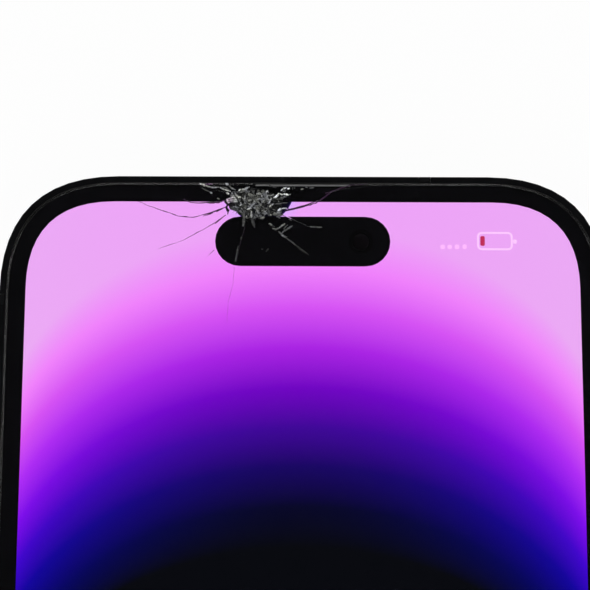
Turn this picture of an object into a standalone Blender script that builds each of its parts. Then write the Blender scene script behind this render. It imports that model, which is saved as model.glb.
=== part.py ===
"""A smartphone with a shattered screen, lying on its back with the screen up.

X runs across the phone, Y from its bottom end to its top end, and Z up out of the screen. The origin is
under the middle of the phone, at the level of the rear camera rings that it rests on. Lengths are in metres.
"""

import math
import random

import bmesh
import bpy
from mathutils import Matrix, Vector

MM = 0.001

# The body and the outline that every layer follows
BODY_WIDTH = 71.5 * MM
BODY_LENGTH = 147.5 * MM
BODY_THICKNESS = 7.85 * MM
BODY_CORNER = 13.8 * MM
SOFT_HANDLE = 0.66
CIRCLE_HANDLE = 0.5523
CORNER_STEPS = 12
ROUND_STEPS = 28
HOLE_STEPS = 12

# The metal band with its floor
BAND_WALL = 2.35 * MM
BAND_EDGE = 0.55 * MM
BAND_SETBACK = 0.15 * MM
LIP_WIDTH = 0.75 * MM
FLOOR_THICKNESS = 0.5 * MM

# Clearances
GLASS_CLEARANCE = 0.12 * MM
LAYER_GAP = 0.1 * MM
BOND_GAP = 0.05 * MM
SLIDE_CLEARANCE = 0.12 * MM
INNER_GAP = 0.15 * MM

# The screen's layers, from the outside in
COVER_GLASS = 0.8 * MM
GLASS_EDGE = 0.3 * MM
MASK_THICKNESS = 0.1 * MM
MASK_INSET = 1.0 * MM
LIT_INSET = 2.98 * MM
LIT_CORNER_TIGHTER = 0.52 * MM
PANEL_THICKNESS = 0.7 * MM
BEZEL_WIDTH = 0.98 * MM
BACKPLATE_THICKNESS = 0.35 * MM

# The sensor island near the top of the screen
ISLAND_LENGTH = 20.8 * MM
ISLAND_HEIGHT = 5.95 * MM
ISLAND_FROM_LIT_TOP = 1.8 * MM
ISLAND_OVERLAP = 0.35 * MM
FRONT_LENS_RADIUS = 1.5 * MM
FRONT_LENS_X = 6.9 * MM
SENSOR_BAR_LENGTH = 11.5 * MM
SENSOR_BAR_X = -3.2 * MM
SENSOR_DEPTH = 3.0 * MM

# The earpiece slit in the top edge of the glass
EARPIECE_LENGTH = 12.0 * MM
EARPIECE_DEPTH = 0.35 * MM
EARPIECE_MESH_DEPTH = 0.2 * MM

# The break: where the blow landed, the crushed crater and the shards left in it
IMPACT_X = -5.45 * MM
IMPACT_FROM_GLASS_TOP = 2.25 * MM
CRATER_HALF_LENGTH = 3.4 * MM
CRATER_HALF_HEIGHT = 1.7 * MM
CRATER_SECTORS = 8
CRATER_RAGGED = 0.1
SECTOR_UNEVEN = 0.18
CORE_SHARE = 0.45
CORE_RAGGED = 0.2
SHARD_THICKNESS = 0.45 * MM
SHARD_GAP = 0.12 * MM
SHARD_TILT = math.radians(7)
SHARD_LEAST_TILT = 0.3
SHARD_SINK = 0.06 * MM
BREAK_SEED = 7
CRACK_WIDTH = 0.16 * MM
CRACK_TIP_SHARE = 0.2
CRACK_LIFT = 0.006 * MM

# The cracks that run out of the crater, as points from the impact, in millimetres
CRACKS = {
    "left_arc": (
        (-1.5, -0.2), (-3.7, -0.6), (-5.55, -1.35), (-7.55, -1.85), (-9.35, -1.75), (-11.4, -1.0),
        (-14.15, 0.05),
    ),
    "left_edge": ((-1.7, 0.25), (-4.15, 0.05), (-6.9, -0.15), (-7.85, -0.1), (-8.8, 0.35)),
    "left_low": ((-1.3, -0.7), (-3.7, -1.6), (-4.95, -2.5), (-7.5, -4.0), (-11.55, -5.65)),
    "left_high": ((-1.4, 0.5), (-3.55, 1.05), (-5.25, 1.5), (-7.2, 1.8)),
    "island_left": ((-0.9, -1.2), (-1.4, -3.0), (-1.8, -4.3), (-2.4, -7.2), (-2.7, -9.8), (-3.3, -12.05)),
    "island_middle": ((-0.4, -1.0), (-0.35, -2.2), (-0.2, -3.15)),
    "island_right": ((0.8, -1.1), (1.35, -2.6), (3.05, -3.7), (4.3, -4.9), (6.1, -6.25)),
    "right_low": ((1.2, -0.7), (3.9, -1.95), (6.2, -3.0), (7.8, -3.1)),
    "right_arc": (
        (1.6, -0.5), (4.05, -0.9), (5.7, -0.4), (7.5, 0.25), (8.95, 1.2), (9.95, 1.55), (12.6, 1.8),
    ),
}

# The rear glass with its camera plateau
REAR_GLASS = 0.8 * MM
PLATEAU_SIZE = 35.0 * MM
PLATEAU_CORNER = 9.5 * MM
PLATEAU_RISE = 1.6 * MM
PLATEAU_EDGE = 0.6 * MM
PLATEAU_FROM_SIDE = 19.55 * MM
PLATEAU_FROM_TOP = 20.5 * MM
FLOOR_WINDOW_MARGIN = 1.0 * MM
FLOOR_WINDOW_SHIFT = 0.5 * MM

# The three rear cameras, their rings, and the two small windows, placed from the plateau's middle
RING_RADIUS = 7.5 * MM
RING_RISE = 1.4 * MM
RING_WALL = 2.3 * MM
RING_CHAMFER = 0.25 * MM
COVER_SEAT_WIDTH = 0.8 * MM
LENS_COVER = 0.55 * MM
LENS_COVER_SUNK = 0.25 * MM
BARREL_CLEARANCE = 0.3 * MM
BARREL_SUNK = 0.3 * MM
CONE_RADIUS = 3.5 * MM
CONE_DEPTH = 0.6 * MM
FRONT_ELEMENT_RADIUS = 2.45 * MM
FRONT_ELEMENT_CROWN = 0.2 * MM
CAMERA_BODY = 12.4 * MM
CAMERAS = {
    "main": (8.0 * MM, 8.6 * MM),
    "ultrawide": (8.0 * MM, -8.4 * MM),
    "telephoto": (-8.0 * MM, 0.4 * MM),
}
SMALL_WINDOW_RADIUS = 3.1 * MM
WINDOW_EDGE = 0.2 * MM
SMALL_WINDOWS = {
    "flash_lens": (-8.2 * MM, 12.2 * MM),
    "rangefinder_window": (-8.2 * MM, -11.6 * MM),
}

# Buttons, the ring switch and the card tray in the sides
BUTTON_HEIGHT = 2.7 * MM
BUTTON_PROUD = 0.35 * MM
BUTTON_DEPTH = 1.3 * MM
BUTTON_TRAVEL = 0.3 * MM
BUTTON_EDGE = 0.2 * MM
STEM_HEIGHT = 1.1 * MM
STEM_SHARE = 0.45
STEM_SHORT = 0.05 * MM
SIDE_BUTTON_LENGTH = 17.5 * MM
SIDE_BUTTON_FROM_TOP = 46.25 * MM
VOLUME_LENGTH = 10.6 * MM
VOLUME_UP_FROM_TOP = 40.15 * MM
VOLUME_SPACING = 13.0 * MM
SWITCH_FROM_TOP = 27.75 * MM
SWITCH_LENGTH = 5.4 * MM
SWITCH_HEIGHT = 1.5 * MM
SWITCH_TRAVEL = 1.3 * MM
TRAY_FROM_TOP = 72.75 * MM
TRAY_FACE_LENGTH = 15.6 * MM
TRAY_FACE_HEIGHT = 2.2 * MM
TRAY_FACE_DEPTH = 1.5 * MM
TRAY_LENGTH = 19.0 * MM
TRAY_WIDTH = 12.6 * MM
TRAY_THICKNESS = 0.9 * MM
TRAY_CORNER = 0.8 * MM
TRAY_FRAME = 1.3 * MM
CARD_LENGTH = 12.3 * MM
CARD_WIDTH = 8.8 * MM
CARD_CORNER = 0.6 * MM
PIN_HOLE_RADIUS = 0.42 * MM
READER_WALL = 0.35 * MM
DOME_RADIUS = 1.1 * MM
DOME_HEIGHT = 0.3 * MM
DOME_GAP = 0.35 * MM
STRIP_THICKNESS = 0.5 * MM
STRIP_HEIGHT = 2.4 * MM
STRIP_FOOT = 2.0 * MM

# Antenna breaks filled with plastic
ANTENNA_WIDTH = 1.3 * MM
ANTENNA_DEPTH = 0.6 * MM
GROOVE_CORNER = 0.1 * MM
ANTENNA_FROM_END = 14.9 * MM
ANTENNA_END_X = 14.5 * MM

# The bottom end: charging port, sound holes and screws
PORT_LENGTH = 8.4 * MM
PORT_HEIGHT = 2.6 * MM
PORT_WALL = 0.3 * MM
PORT_DEPTH = 7.4 * MM
PORT_SETBACK = 0.2 * MM
TONGUE_LENGTH = 6.6 * MM
TONGUE_THICKNESS = 0.7 * MM
TONGUE_SETBACK = 0.9 * MM
SOUND_HOLE_RADIUS = 0.72 * MM
SOUND_HOLE_PITCH = 2.35 * MM
SOUND_HOLE_FROM_SCREW = 3.65 * MM
SOUND_HOLE_COUNT = 5
SCREW_FROM_PORT = 2.45 * MM
SCREW_HEAD_RADIUS = 0.8 * MM
SCREW_HEAD = 0.8 * MM
SCREW_SHANK_RADIUS = 0.5 * MM
SCREW_LENGTH = 2.3 * MM
SCREW_SUNK = 0.2 * MM
SCREW_SLOT = 0.2 * MM
SCREW_SLOT_LENGTH = 1.05 * MM

# What the housing holds
BATTERY_FROM_SIDE = 2.0 * MM
BATTERY_FROM_BOARD = 1.4 * MM
BATTERY_FROM_PLATEAU = 2.25 * MM
BATTERY_FROM_END = 23.75 * MM
BATTERY_LEG_GAP = 3.0 * MM
BATTERY_THICKNESS = 3.7 * MM
BATTERY_EDGE = 0.8 * MM
BOARD_FROM_SIDE = 2.2 * MM
BOARD_FROM_TOP = 13.75 * MM
BOARD_WIDTH = 21.8 * MM
BOARD_LENGTH = 69.0 * MM
BOARD_THICKNESS = 0.75 * MM
BOARD_CORNER = 1.2 * MM
SHIELD_FROM_TRAY = 5.2 * MM
SHIELD_HEIGHT = 2.2 * MM
SHIELD_MARGIN = 1.0 * MM
SHIELD_EDGE = 0.3 * MM
MODULE_EDGE = 0.5 * MM
SPEAKER_FROM_PORT = 1.5 * MM
SPEAKER_FROM_SIDE = 3.4 * MM
SPEAKER_LENGTH = 15.5 * MM
SPEAKER_HEIGHT = 3.6 * MM
HAPTIC_FROM_PORT = 2.5 * MM
HAPTIC_FROM_SIDE = 3.4 * MM
HAPTIC_FROM_END = 8.4 * MM
HAPTIC_WIDTH = 9.0 * MM
HAPTIC_HEIGHT = 3.4 * MM
EAR_SPEAKER_LENGTH = 23.0 * MM
EAR_SPEAKER_WIDTH = 8.0 * MM
EAR_SPEAKER_HEIGHT = 1.9 * MM
COIL_Y = -8.0 * MM
COIL_WINDOW_MARGIN = 0.4 * MM
COIL_INNER = 10.0 * MM
COIL_OUTER = 21.5 * MM
MAGNET_INNER = 23.0 * MM
MAGNET_OUTER = 28.0 * MM
COIL_THICKNESS = 0.4 * MM
FLEX_WIDTH = 4.0 * MM
FLEX_THICKNESS = 0.2 * MM
FLEX_X = 2.0 * MM
FLEX_PAST_BATTERY = 8.0 * MM

# Levels that follow from the sizes above, from the rings on the table up to the glass
REAR_FACE_Z = PLATEAU_RISE + RING_RISE
FRONT_FACE_Z = REAR_FACE_Z + BODY_THICKNESS
BAND_LOW_Z = REAR_FACE_Z + BAND_SETBACK
BAND_HIGH_Z = FRONT_FACE_Z - BAND_SETBACK
BAND_MIDDLE_Z = (BAND_LOW_Z + BAND_HIGH_Z) / 2
FLOOR_LOW_Z = REAR_FACE_Z + REAR_GLASS + LAYER_GAP
FLOOR_Z = FLOOR_LOW_Z + FLOOR_THICKNESS
GLASS_LOW_Z = FRONT_FACE_Z - COVER_GLASS
MASK_LOW_Z = GLASS_LOW_Z - BOND_GAP - MASK_THICKNESS
PANEL_HIGH_Z = MASK_LOW_Z - BOND_GAP
PANEL_LOW_Z = PANEL_HIGH_Z - PANEL_THICKNESS
LEDGE_Z = PANEL_LOW_Z - BOND_GAP - LAYER_GAP
BACKPLATE_HIGH_Z = PANEL_LOW_Z - LAYER_GAP
BACKPLATE_LOW_Z = BACKPLATE_HIGH_Z - BACKPLATE_THICKNESS
ROOM_HIGH_Z = BACKPLATE_LOW_Z - INNER_GAP
ROOM_LOW_Z = FLOOR_Z + INNER_GAP
GLASS_INSET = LIP_WIDTH + GLASS_CLEARANCE
PANEL_INSET = GLASS_INSET + BEZEL_WIDTH + LAYER_GAP
BACKPLATE_INSET = BAND_WALL + INNER_GAP
LIT_TOP_Y = BODY_LENGTH / 2 - LIT_INSET
GLASS_TOP_Y = BODY_LENGTH / 2 - GLASS_INSET
ISLAND_Y = LIT_TOP_Y - ISLAND_FROM_LIT_TOP - ISLAND_HEIGHT / 2
IMPACT_Y = GLASS_TOP_Y - IMPACT_FROM_GLASS_TOP
PLATEAU_X = BODY_WIDTH / 2 - PLATEAU_FROM_SIDE
PLATEAU_Y = BODY_LENGTH / 2 - PLATEAU_FROM_TOP
SIDE_BUTTON_Y = BODY_LENGTH / 2 - SIDE_BUTTON_FROM_TOP
VOLUME_UP_Y = BODY_LENGTH / 2 - VOLUME_UP_FROM_TOP
VOLUME_DOWN_Y = VOLUME_UP_Y - VOLUME_SPACING
SWITCH_Y = BODY_LENGTH / 2 - SWITCH_FROM_TOP
TRAY_Y = BODY_LENGTH / 2 - TRAY_FROM_TOP
ROOM_SIDE_X = BODY_WIDTH / 2 - BAND_WALL
ROOM_END_Y = BODY_LENGTH / 2 - BAND_WALL
PORT_HALF = PORT_LENGTH / 2 + PORT_WALL
SCREW_X = PORT_HALF + SCREW_FROM_PORT
SOUND_HOLE_FIRST_X = SCREW_X + SOUND_HOLE_FROM_SCREW
BOARD_LEFT = -ROOM_SIDE_X + BOARD_FROM_SIDE
BOARD_RIGHT = BOARD_LEFT + BOARD_WIDTH
BOARD_TOP = BODY_LENGTH / 2 - BOARD_FROM_TOP
BOARD_BOTTOM = BOARD_TOP - BOARD_LENGTH
BATTERY_TOP = PLATEAU_Y - PLATEAU_SIZE / 2 - BATTERY_FROM_PLATEAU
BATTERY_LEG_TOP = BOARD_BOTTOM - BATTERY_LEG_GAP
OVERCUT = 1.0 * MM
CUT_OVERLAP = 0.1 * MM
JOIN_OVERLAP = 0.5 * MM

# How an outline drawn on X and Y is turned: flat, onto a side wall, or onto an end wall
FACE_UP = Matrix.Identity(4)
FACE_SIDE = Matrix(((0, 0, 1, 0), (1, 0, 0, 0), (0, 1, 0, 0), (0, 0, 0, 1)))
FACE_END = Matrix.Rotation(math.radians(90), 4, "X")


def clear_scene():
    for leftover in list(bpy.data.objects):
        bpy.data.objects.remove(leftover, do_unlink=True)


def new_collection(name):
    made = bpy.data.collections.new(name)
    bpy.context.scene.collection.children.link(made)
    return made


def new_material(name, colour, roughness, metallic=0.0):
    made = bpy.data.materials.new(name)
    made.use_nodes = True
    shader = made.node_tree.nodes["Principled BSDF"]
    shader.inputs["Base Color"].default_value = (*colour, 1.0)
    shader.inputs["Roughness"].default_value = roughness
    shader.inputs["Metallic"].default_value = metallic
    made.diffuse_color = (*colour, 1.0)
    return made


clear_scene()
PIECES = new_collection("shattered_phone")
CUTTERS = new_collection("cutters")
ROOT = bpy.data.objects.new("phone", None)
PIECES.objects.link(ROOT)

BLACK_METAL = new_material("black_metal", (0.02, 0.02, 0.022), 0.25, 1.0)
FRONT_GLASS = new_material("front_glass", (0.03, 0.03, 0.035), 0.05)
BROKEN_GLASS = new_material("broken_glass", (0.45, 0.47, 0.46), 0.2)
BACK_GLASS = new_material("back_glass", (0.03, 0.03, 0.032), 0.45)
BLACK_INK = new_material("black_ink", (0.005, 0.005, 0.006), 0.5)
LIT_PANEL = new_material("lit_panel", (0.55, 0.12, 0.85), 0.4)
BLACK_PLASTIC = new_material("black_plastic", (0.02, 0.02, 0.02), 0.5)
ANTENNA_PLASTIC = new_material("antenna_plastic", (0.05, 0.05, 0.052), 0.5)
LENS_GLASS = new_material("lens_glass", (0.01, 0.012, 0.02), 0.03)
STEEL = new_material("steel", (0.6, 0.6, 0.6), 0.35, 1.0)
CELL_WRAP = new_material("cell_wrap", (0.02, 0.02, 0.02), 0.6)
BOARD_GREEN = new_material("board_green", (0.01, 0.06, 0.03), 0.6)
COPPER = new_material("copper", (0.7, 0.33, 0.18), 0.35, 1.0)
FLEX_FILM = new_material("flex_film", (0.25, 0.12, 0.03), 0.5)


def settle(obj, collection, material=None):
    """Links an object, and gives it its place under the root, its finish and smooth round faces."""
    collection.objects.link(obj)
    if collection is CUTTERS:
        obj.hide_render = True
        obj.display_type = "WIRE"
    else:
        obj.parent = ROOT
        obj.data.materials.clear()
        obj.data.materials.append(material)
        obj.data.shade_smooth()
        obj.data.set_sharp_from_angle(angle=math.radians(35))
    return obj


def clean(mesh):
    """Welds the caps that an extruded curve leaves loose, and turns every face outwards."""
    shape = bmesh.new()
    shape.from_mesh(mesh)
    bmesh.ops.remove_doubles(shape, verts=shape.verts, dist=0.001 * MM)
    bmesh.ops.recalc_face_normals(shape, faces=shape.faces)
    shape.to_mesh(mesh)
    shape.free()
    return mesh


def flat_curve(steps=CORNER_STEPS):
    curve = bpy.data.curves.new("outline", "CURVE")
    curve.dimensions = "2D"
    curve.fill_mode = "BOTH"
    curve.resolution_u = steps
    return curve


def add_bezier(curve, knots):
    """A closed spline through (point, handle in, handle out); a handle of None starts a straight side."""
    spline = curve.splines.new("BEZIER")
    spline.bezier_points.add(len(knots) - 1)
    spline.use_cyclic_u = True
    for point, (place, arriving, leaving) in zip(spline.bezier_points, knots):
        point.co = place
        point.handle_left_type = "FREE" if arriving else "VECTOR"
        point.handle_right_type = "FREE" if leaving else "VECTOR"
        point.handle_left = arriving or place
        point.handle_right = leaving or place


def add_rounded(curve, width, height, corner, centre=(0.0, 0.0), handle=CIRCLE_HANDLE):
    """A rectangle with rounded corners. A handle over that of a circle eases each corner into its sides."""
    heading = Vector((1, 0, 0))
    knots = []
    for side_x, side_y in ((1, -1), (1, 1), (-1, 1), (-1, -1)):
        tip = Vector((centre[0] + side_x * width / 2, centre[1] + side_y * height / 2, 0))
        turned = Vector((-heading.y, heading.x, 0))
        start = tip - heading * corner
        end = tip + turned * corner
        knots.append([start, None, start + heading * corner * handle])
        knots.append([end, end - turned * corner * handle, None])
        heading = turned
    joined = []
    for knot in knots:
        if joined and (joined[-1][0] - knot[0]).length < 0.01 * MM:
            joined[-1][2] = knot[2]
        else:
            joined.append(knot)
    if (joined[-1][0] - joined[0][0]).length < 0.01 * MM:
        joined[0][1] = joined.pop()[1]
    add_bezier(curve, joined)


def add_body_outline(curve, inset):
    """The phone's own outline, moved in by the inset all round."""
    add_rounded(
        curve, BODY_WIDTH - 2 * inset, BODY_LENGTH - 2 * inset, BODY_CORNER - inset, handle=SOFT_HANDLE
    )


def add_circle(curve, radius, centre=(0.0, 0.0)):
    add_rounded(curve, 2 * radius, 2 * radius, radius, centre)


def add_polygon(curve, points):
    spline = curve.splines.new("POLY")
    spline.points.add(len(points) - 1)
    spline.use_cyclic_u = True
    for point, (x, y) in zip(spline.points, points):
        point.co = (x, y, 0, 1)


def mesh_of_curve(curve):
    guide = bpy.data.objects.new("guide", curve)
    bpy.context.scene.collection.objects.link(guide)
    graph = bpy.context.evaluated_depsgraph_get()
    mesh = bpy.data.meshes.new_from_object(guide.evaluated_get(graph))
    bpy.data.objects.remove(guide)
    bpy.data.curves.remove(curve)
    return clean(mesh)


def extruded(name, curve, low, high, turn=FACE_UP, place=(0, 0, 0), collection=PIECES, material=None):
    """The curve's filled outline as a solid, from low to high along the outline's own normal."""
    curve.extrude = (high - low) / 2
    obj = bpy.data.objects.new(name, mesh_of_curve(curve))
    middle = Matrix.Translation((0, 0, (low + high) / 2))
    obj.matrix_world = Matrix.Translation(place) @ turn @ middle
    return settle(obj, collection, material)


def turned_piece(name, profile, place, steps=ROUND_STEPS, collection=PIECES, material=None):
    """A closed profile of (radius, height) spun round the vertical line through the place."""
    mesh = bpy.data.meshes.new(name)
    count = len(profile)
    edges = [(i, (i + 1) % count) for i in range(count)]
    mesh.from_pydata([(radius, 0, height) for radius, height in profile], edges, [])
    obj = bpy.data.objects.new(name, mesh)
    obj.location = place
    screw = obj.modifiers.new("turn", "SCREW")
    screw.steps = steps
    screw.render_steps = steps
    screw.use_merge_vertices = True
    screw.merge_threshold = 0.01 * MM
    return settle(obj, collection, material)


def block(name, low, high, collection=PIECES, material=None):
    """A box between two corners."""
    low, high = Vector(low), Vector(high)
    mesh = bpy.data.meshes.new(name)
    shape = bmesh.new()
    bmesh.ops.create_cube(shape, size=1.0)
    bmesh.ops.scale(shape, vec=high - low, verts=shape.verts)
    shape.to_mesh(mesh)
    shape.free()
    obj = bpy.data.objects.new(name, mesh)
    obj.location = (low + high) / 2
    return settle(obj, collection, material)


def round_bar(name, radius, low, high, turn, place, steps, collection=PIECES, material=None):
    """A cylinder from low to high along the turned normal."""
    mesh = bpy.data.meshes.new(name)
    shape = bmesh.new()
    bmesh.ops.create_cone(
        shape, cap_ends=True, segments=steps, radius1=radius, radius2=radius, depth=high - low
    )
    shape.to_mesh(mesh)
    shape.free()
    obj = bpy.data.objects.new(name, mesh)
    middle = Matrix.Translation((0, 0, (low + high) / 2))
    obj.matrix_world = Matrix.Translation(place) @ turn @ middle
    return settle(obj, collection, material)


def soften(obj, width, segments=2, over=40):
    """Rounds the edges that are sharper than an angle."""
    bevel = obj.modifiers.new("soften", "BEVEL")
    bevel.width = width
    bevel.segments = segments
    bevel.limit_method = "ANGLE"
    bevel.angle_limit = math.radians(over)
    bevel.use_clamp_overlap = True
    return obj


def combine(target, other, operation):
    boolean = target.modifiers.new(f"{operation.lower()} {other.name}", "BOOLEAN")
    boolean.operation = operation
    boolean.object = other
    boolean.solver = "EXACT"


def cut(target, *cutters):
    for cutter in cutters:
        combine(target, cutter, "DIFFERENCE")
    return target


def cut_at_once(target, cutters):
    """Cuts with many cutters in one operation, which keeps the finest ends of their grooves closed."""
    together = bpy.data.collections.new(f"{target.name}_cutters")
    CUTTERS.children.link(together)
    for cutter in cutters:
        together.objects.link(cutter)
    boolean = target.modifiers.new("difference together", "BOOLEAN")
    boolean.operation = "DIFFERENCE"
    boolean.operand_type = "COLLECTION"
    boolean.collection = together
    boolean.solver = "EXACT"


def join(target, *others):
    for other in others:
        combine(target, other, "UNION")
    return target


def outline_cutter(name, inset, low, high):
    curve = flat_curve()
    add_body_outline(curve, inset)
    return extruded(name, curve, low, high, collection=CUTTERS)


def side_cutter(name, side, length, height, depth_low, depth_high, y, z, corner=None):
    """A rounded slot through a side wall, from depth_low to depth_high under the wall's outer face."""
    curve = flat_curve(HOLE_STEPS // 4)
    add_rounded(curve, length, height, height / 2 if corner is None else corner)
    outer = side * BODY_WIDTH / 2
    low, high = sorted((outer - side * depth_low, outer - side * depth_high))
    return extruded(name, curve, low, high, FACE_SIDE, (0, y, z), CUTTERS)


def camera_place(offset):
    return PLATEAU_X + offset[0], PLATEAU_Y + offset[1]


# The screen's layers


def crater_edges(randomly):
    """The angles of the crater's sectors, and the ragged share of its radius at each and between them."""
    step = 2 * math.pi / CRATER_SECTORS
    angles = [step * (i + randomly.uniform(-SECTOR_UNEVEN, SECTOR_UNEVEN)) for i in range(CRATER_SECTORS)]
    shares = [1 + randomly.uniform(-CRATER_RAGGED, CRATER_RAGGED) for _ in range(2 * CRATER_SECTORS)]
    cores = [CORE_SHARE * (1 + randomly.uniform(-CORE_RAGGED, CORE_RAGGED)) for _ in range(CRATER_SECTORS)]
    return angles, shares, cores


def crater_point(angle, share):
    return (
        IMPACT_X + math.cos(angle) * CRATER_HALF_LENGTH * share,
        IMPACT_Y + math.sin(angle) * CRATER_HALF_HEIGHT * share,
    )


def middle_angle(angles, i):
    after = angles[(i + 1) % CRATER_SECTORS]
    if after < angles[i]:
        after += 2 * math.pi
    return (angles[i] + after) / 2


def crater_outline(angles, shares):
    points = []
    for i in range(CRATER_SECTORS):
        points.append(crater_point(angles[i], shares[2 * i]))
        points.append(crater_point(middle_angle(angles, i), shares[2 * i + 1]))
    return points


def shard_outlines(angles, shares, cores):
    """The wedges that the blow left round the crater, then the pieces of its core, two wedges wide each."""
    outlines = []
    for i in range(CRATER_SECTORS):
        j = (i + 1) % CRATER_SECTORS
        outlines.append([
            crater_point(angles[i], cores[i]),
            crater_point(angles[i], shares[2 * i]),
            crater_point(middle_angle(angles, i), shares[2 * i + 1]),
            crater_point(angles[j], shares[2 * j]),
            crater_point(angles[j], cores[j]),
        ])
    for i in range(0, CRATER_SECTORS, 2):
        j, k = (i + 1) % CRATER_SECTORS, (i + 2) % CRATER_SECTORS
        outlines.append([
            (IMPACT_X, IMPACT_Y),
            crater_point(angles[i], cores[i]),
            crater_point(angles[j], cores[j]),
            crater_point(angles[k], cores[k]),
        ])
    return outlines


def crack_cutter(name, points):
    """A groove with a V section that narrows from the crater to its tip, widest just above the glass."""
    curve = bpy.data.curves.new(name, "CURVE")
    curve.dimensions = "3D"
    curve.bevel_depth = CRACK_WIDTH / 2
    curve.bevel_resolution = 0
    curve.use_fill_caps = True
    spline = curve.splines.new("POLY")
    spline.points.add(len(points) - 1)
    last = len(points) - 1
    for i, (point, (x, y)) in enumerate(zip(spline.points, points)):
        point.co = (IMPACT_X + x * MM, IMPACT_Y + y * MM, FRONT_FACE_Z + CRACK_LIFT, 1)
        point.radius = 1 - (1 - CRACK_TIP_SHARE) * i / last
    return settle(bpy.data.objects.new(name, mesh_of_curve(curve)), CUTTERS)


def make_cover_glass(angles, shares):
    curve = flat_curve()
    add_body_outline(curve, GLASS_INSET)
    glass = extruded("cover_glass", curve, GLASS_LOW_Z, FRONT_FACE_Z, material=FRONT_GLASS)
    soften(glass, GLASS_EDGE, 2)
    slit = flat_curve(HOLE_STEPS // 4)
    add_rounded(
        slit, EARPIECE_LENGTH, 2 * EARPIECE_DEPTH, EARPIECE_DEPTH, (0, GLASS_TOP_Y)
    )
    low, high = GLASS_LOW_Z - OVERCUT, FRONT_FACE_Z + OVERCUT
    crater = flat_curve()
    add_polygon(crater, crater_outline(angles, shares))
    cut_at_once(glass, [
        extruded("earpiece_slit_cutter", slit, low, high, collection=CUTTERS),
        extruded("crater_cutter", crater, low, high, collection=CUTTERS),
        *(crack_cutter(f"crack_{name}_cutter", points) for name, points in CRACKS.items()),
    ])


def make_shards(randomly, outlines):
    """Each shard is a thin slab of its wedge, drawn in from its neighbours, tilted and a little sunk."""
    for number, outline in enumerate(outlines, 1):
        centre = Vector((sum(x for x, _ in outline), sum(y for _, y in outline))) / len(outline)
        reach = sum((Vector(point) - centre).length for point in outline) / len(outline)
        draw_in = 1 - SHARD_GAP / reach
        curve = flat_curve()
        add_polygon(curve, [tuple((Vector(point) - centre) * draw_in) for point in outline])
        name = f"glass_shard_{number:02d}"
        shard = extruded(name, curve, -SHARD_THICKNESS / 2, SHARD_THICKNESS / 2, material=BROKEN_GLASS)
        heading = randomly.uniform(0, 2 * math.pi)
        lean = Matrix.Rotation(
            randomly.uniform(SHARD_LEAST_TILT, 1) * SHARD_TILT, 4,
            Vector((math.cos(heading), math.sin(heading), 0)),
        )
        sink = randomly.uniform(0, SHARD_SINK)
        middle_z = FRONT_FACE_Z - COVER_GLASS / 2 - sink + SHARD_SINK / 2
        shard.matrix_world = Matrix.Translation((*centre, middle_z)) @ lean


def make_masks():
    """The black print under the glass: a border round the picture and the sensor island."""
    ring = flat_curve()
    add_body_outline(ring, MASK_INSET)
    lit_width, lit_length = BODY_WIDTH - 2 * LIT_INSET, BODY_LENGTH - 2 * LIT_INSET
    lit_corner = BODY_CORNER - LIT_INSET - LIT_CORNER_TIGHTER
    add_rounded(ring, lit_width, lit_length, lit_corner, handle=SOFT_HANDLE)
    high = MASK_LOW_Z + MASK_THICKNESS
    extruded("border_mask", ring, MASK_LOW_Z, high, material=BLACK_INK)
    island = flat_curve(HOLE_STEPS // 2)
    add_rounded(island, ISLAND_LENGTH, ISLAND_HEIGHT, ISLAND_HEIGHT / 2, (0, ISLAND_Y))
    add_circle(island, FRONT_LENS_RADIUS, (FRONT_LENS_X, ISLAND_Y))
    extruded("island_mask", island, MASK_LOW_Z, high, material=BLACK_INK)


def add_island_opening(curve):
    height = ISLAND_HEIGHT - 2 * ISLAND_OVERLAP
    add_rounded(curve, ISLAND_LENGTH - 2 * ISLAND_OVERLAP, height, height / 2, (0, ISLAND_Y))


def make_display():
    panel = flat_curve()
    add_body_outline(panel, PANEL_INSET)
    add_island_opening(panel)
    extruded("display_panel", panel, PANEL_LOW_Z, PANEL_HIGH_Z, material=LIT_PANEL)
    plate = flat_curve()
    add_body_outline(plate, BACKPLATE_INSET)
    add_island_opening(plate)
    extruded("display_backplate", plate, BACKPLATE_LOW_Z, BACKPLATE_HIGH_Z, material=STEEL)
    bezel = flat_curve()
    add_body_outline(bezel, GLASS_INSET)
    add_body_outline(bezel, GLASS_INSET + BEZEL_WIDTH)
    extruded("display_bezel", bezel, LEDGE_Z + LAYER_GAP, PANEL_HIGH_Z, material=BLACK_PLASTIC)


def make_earpiece():
    mesh_y = GLASS_TOP_Y - EARPIECE_DEPTH / 2
    curve = flat_curve(HOLE_STEPS // 4)
    length = EARPIECE_LENGTH - 2 * EARPIECE_DEPTH
    add_rounded(curve, length, EARPIECE_MESH_DEPTH, EARPIECE_MESH_DEPTH / 2, (0, mesh_y))
    extruded(
        "earpiece_mesh", curve, GLASS_LOW_Z, FRONT_FACE_Z - GLASS_EDGE, material=STEEL
    )
    top_y = ROOM_END_Y - INNER_GAP
    soften(
        block(
            "earpiece_speaker",
            (-EAR_SPEAKER_LENGTH / 2, top_y - EAR_SPEAKER_WIDTH, ROOM_LOW_Z),
            (EAR_SPEAKER_LENGTH / 2, top_y, ROOM_LOW_Z + EAR_SPEAKER_HEIGHT),
            material=BLACK_PLASTIC,
        ),
        MODULE_EDGE,
    )


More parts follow.
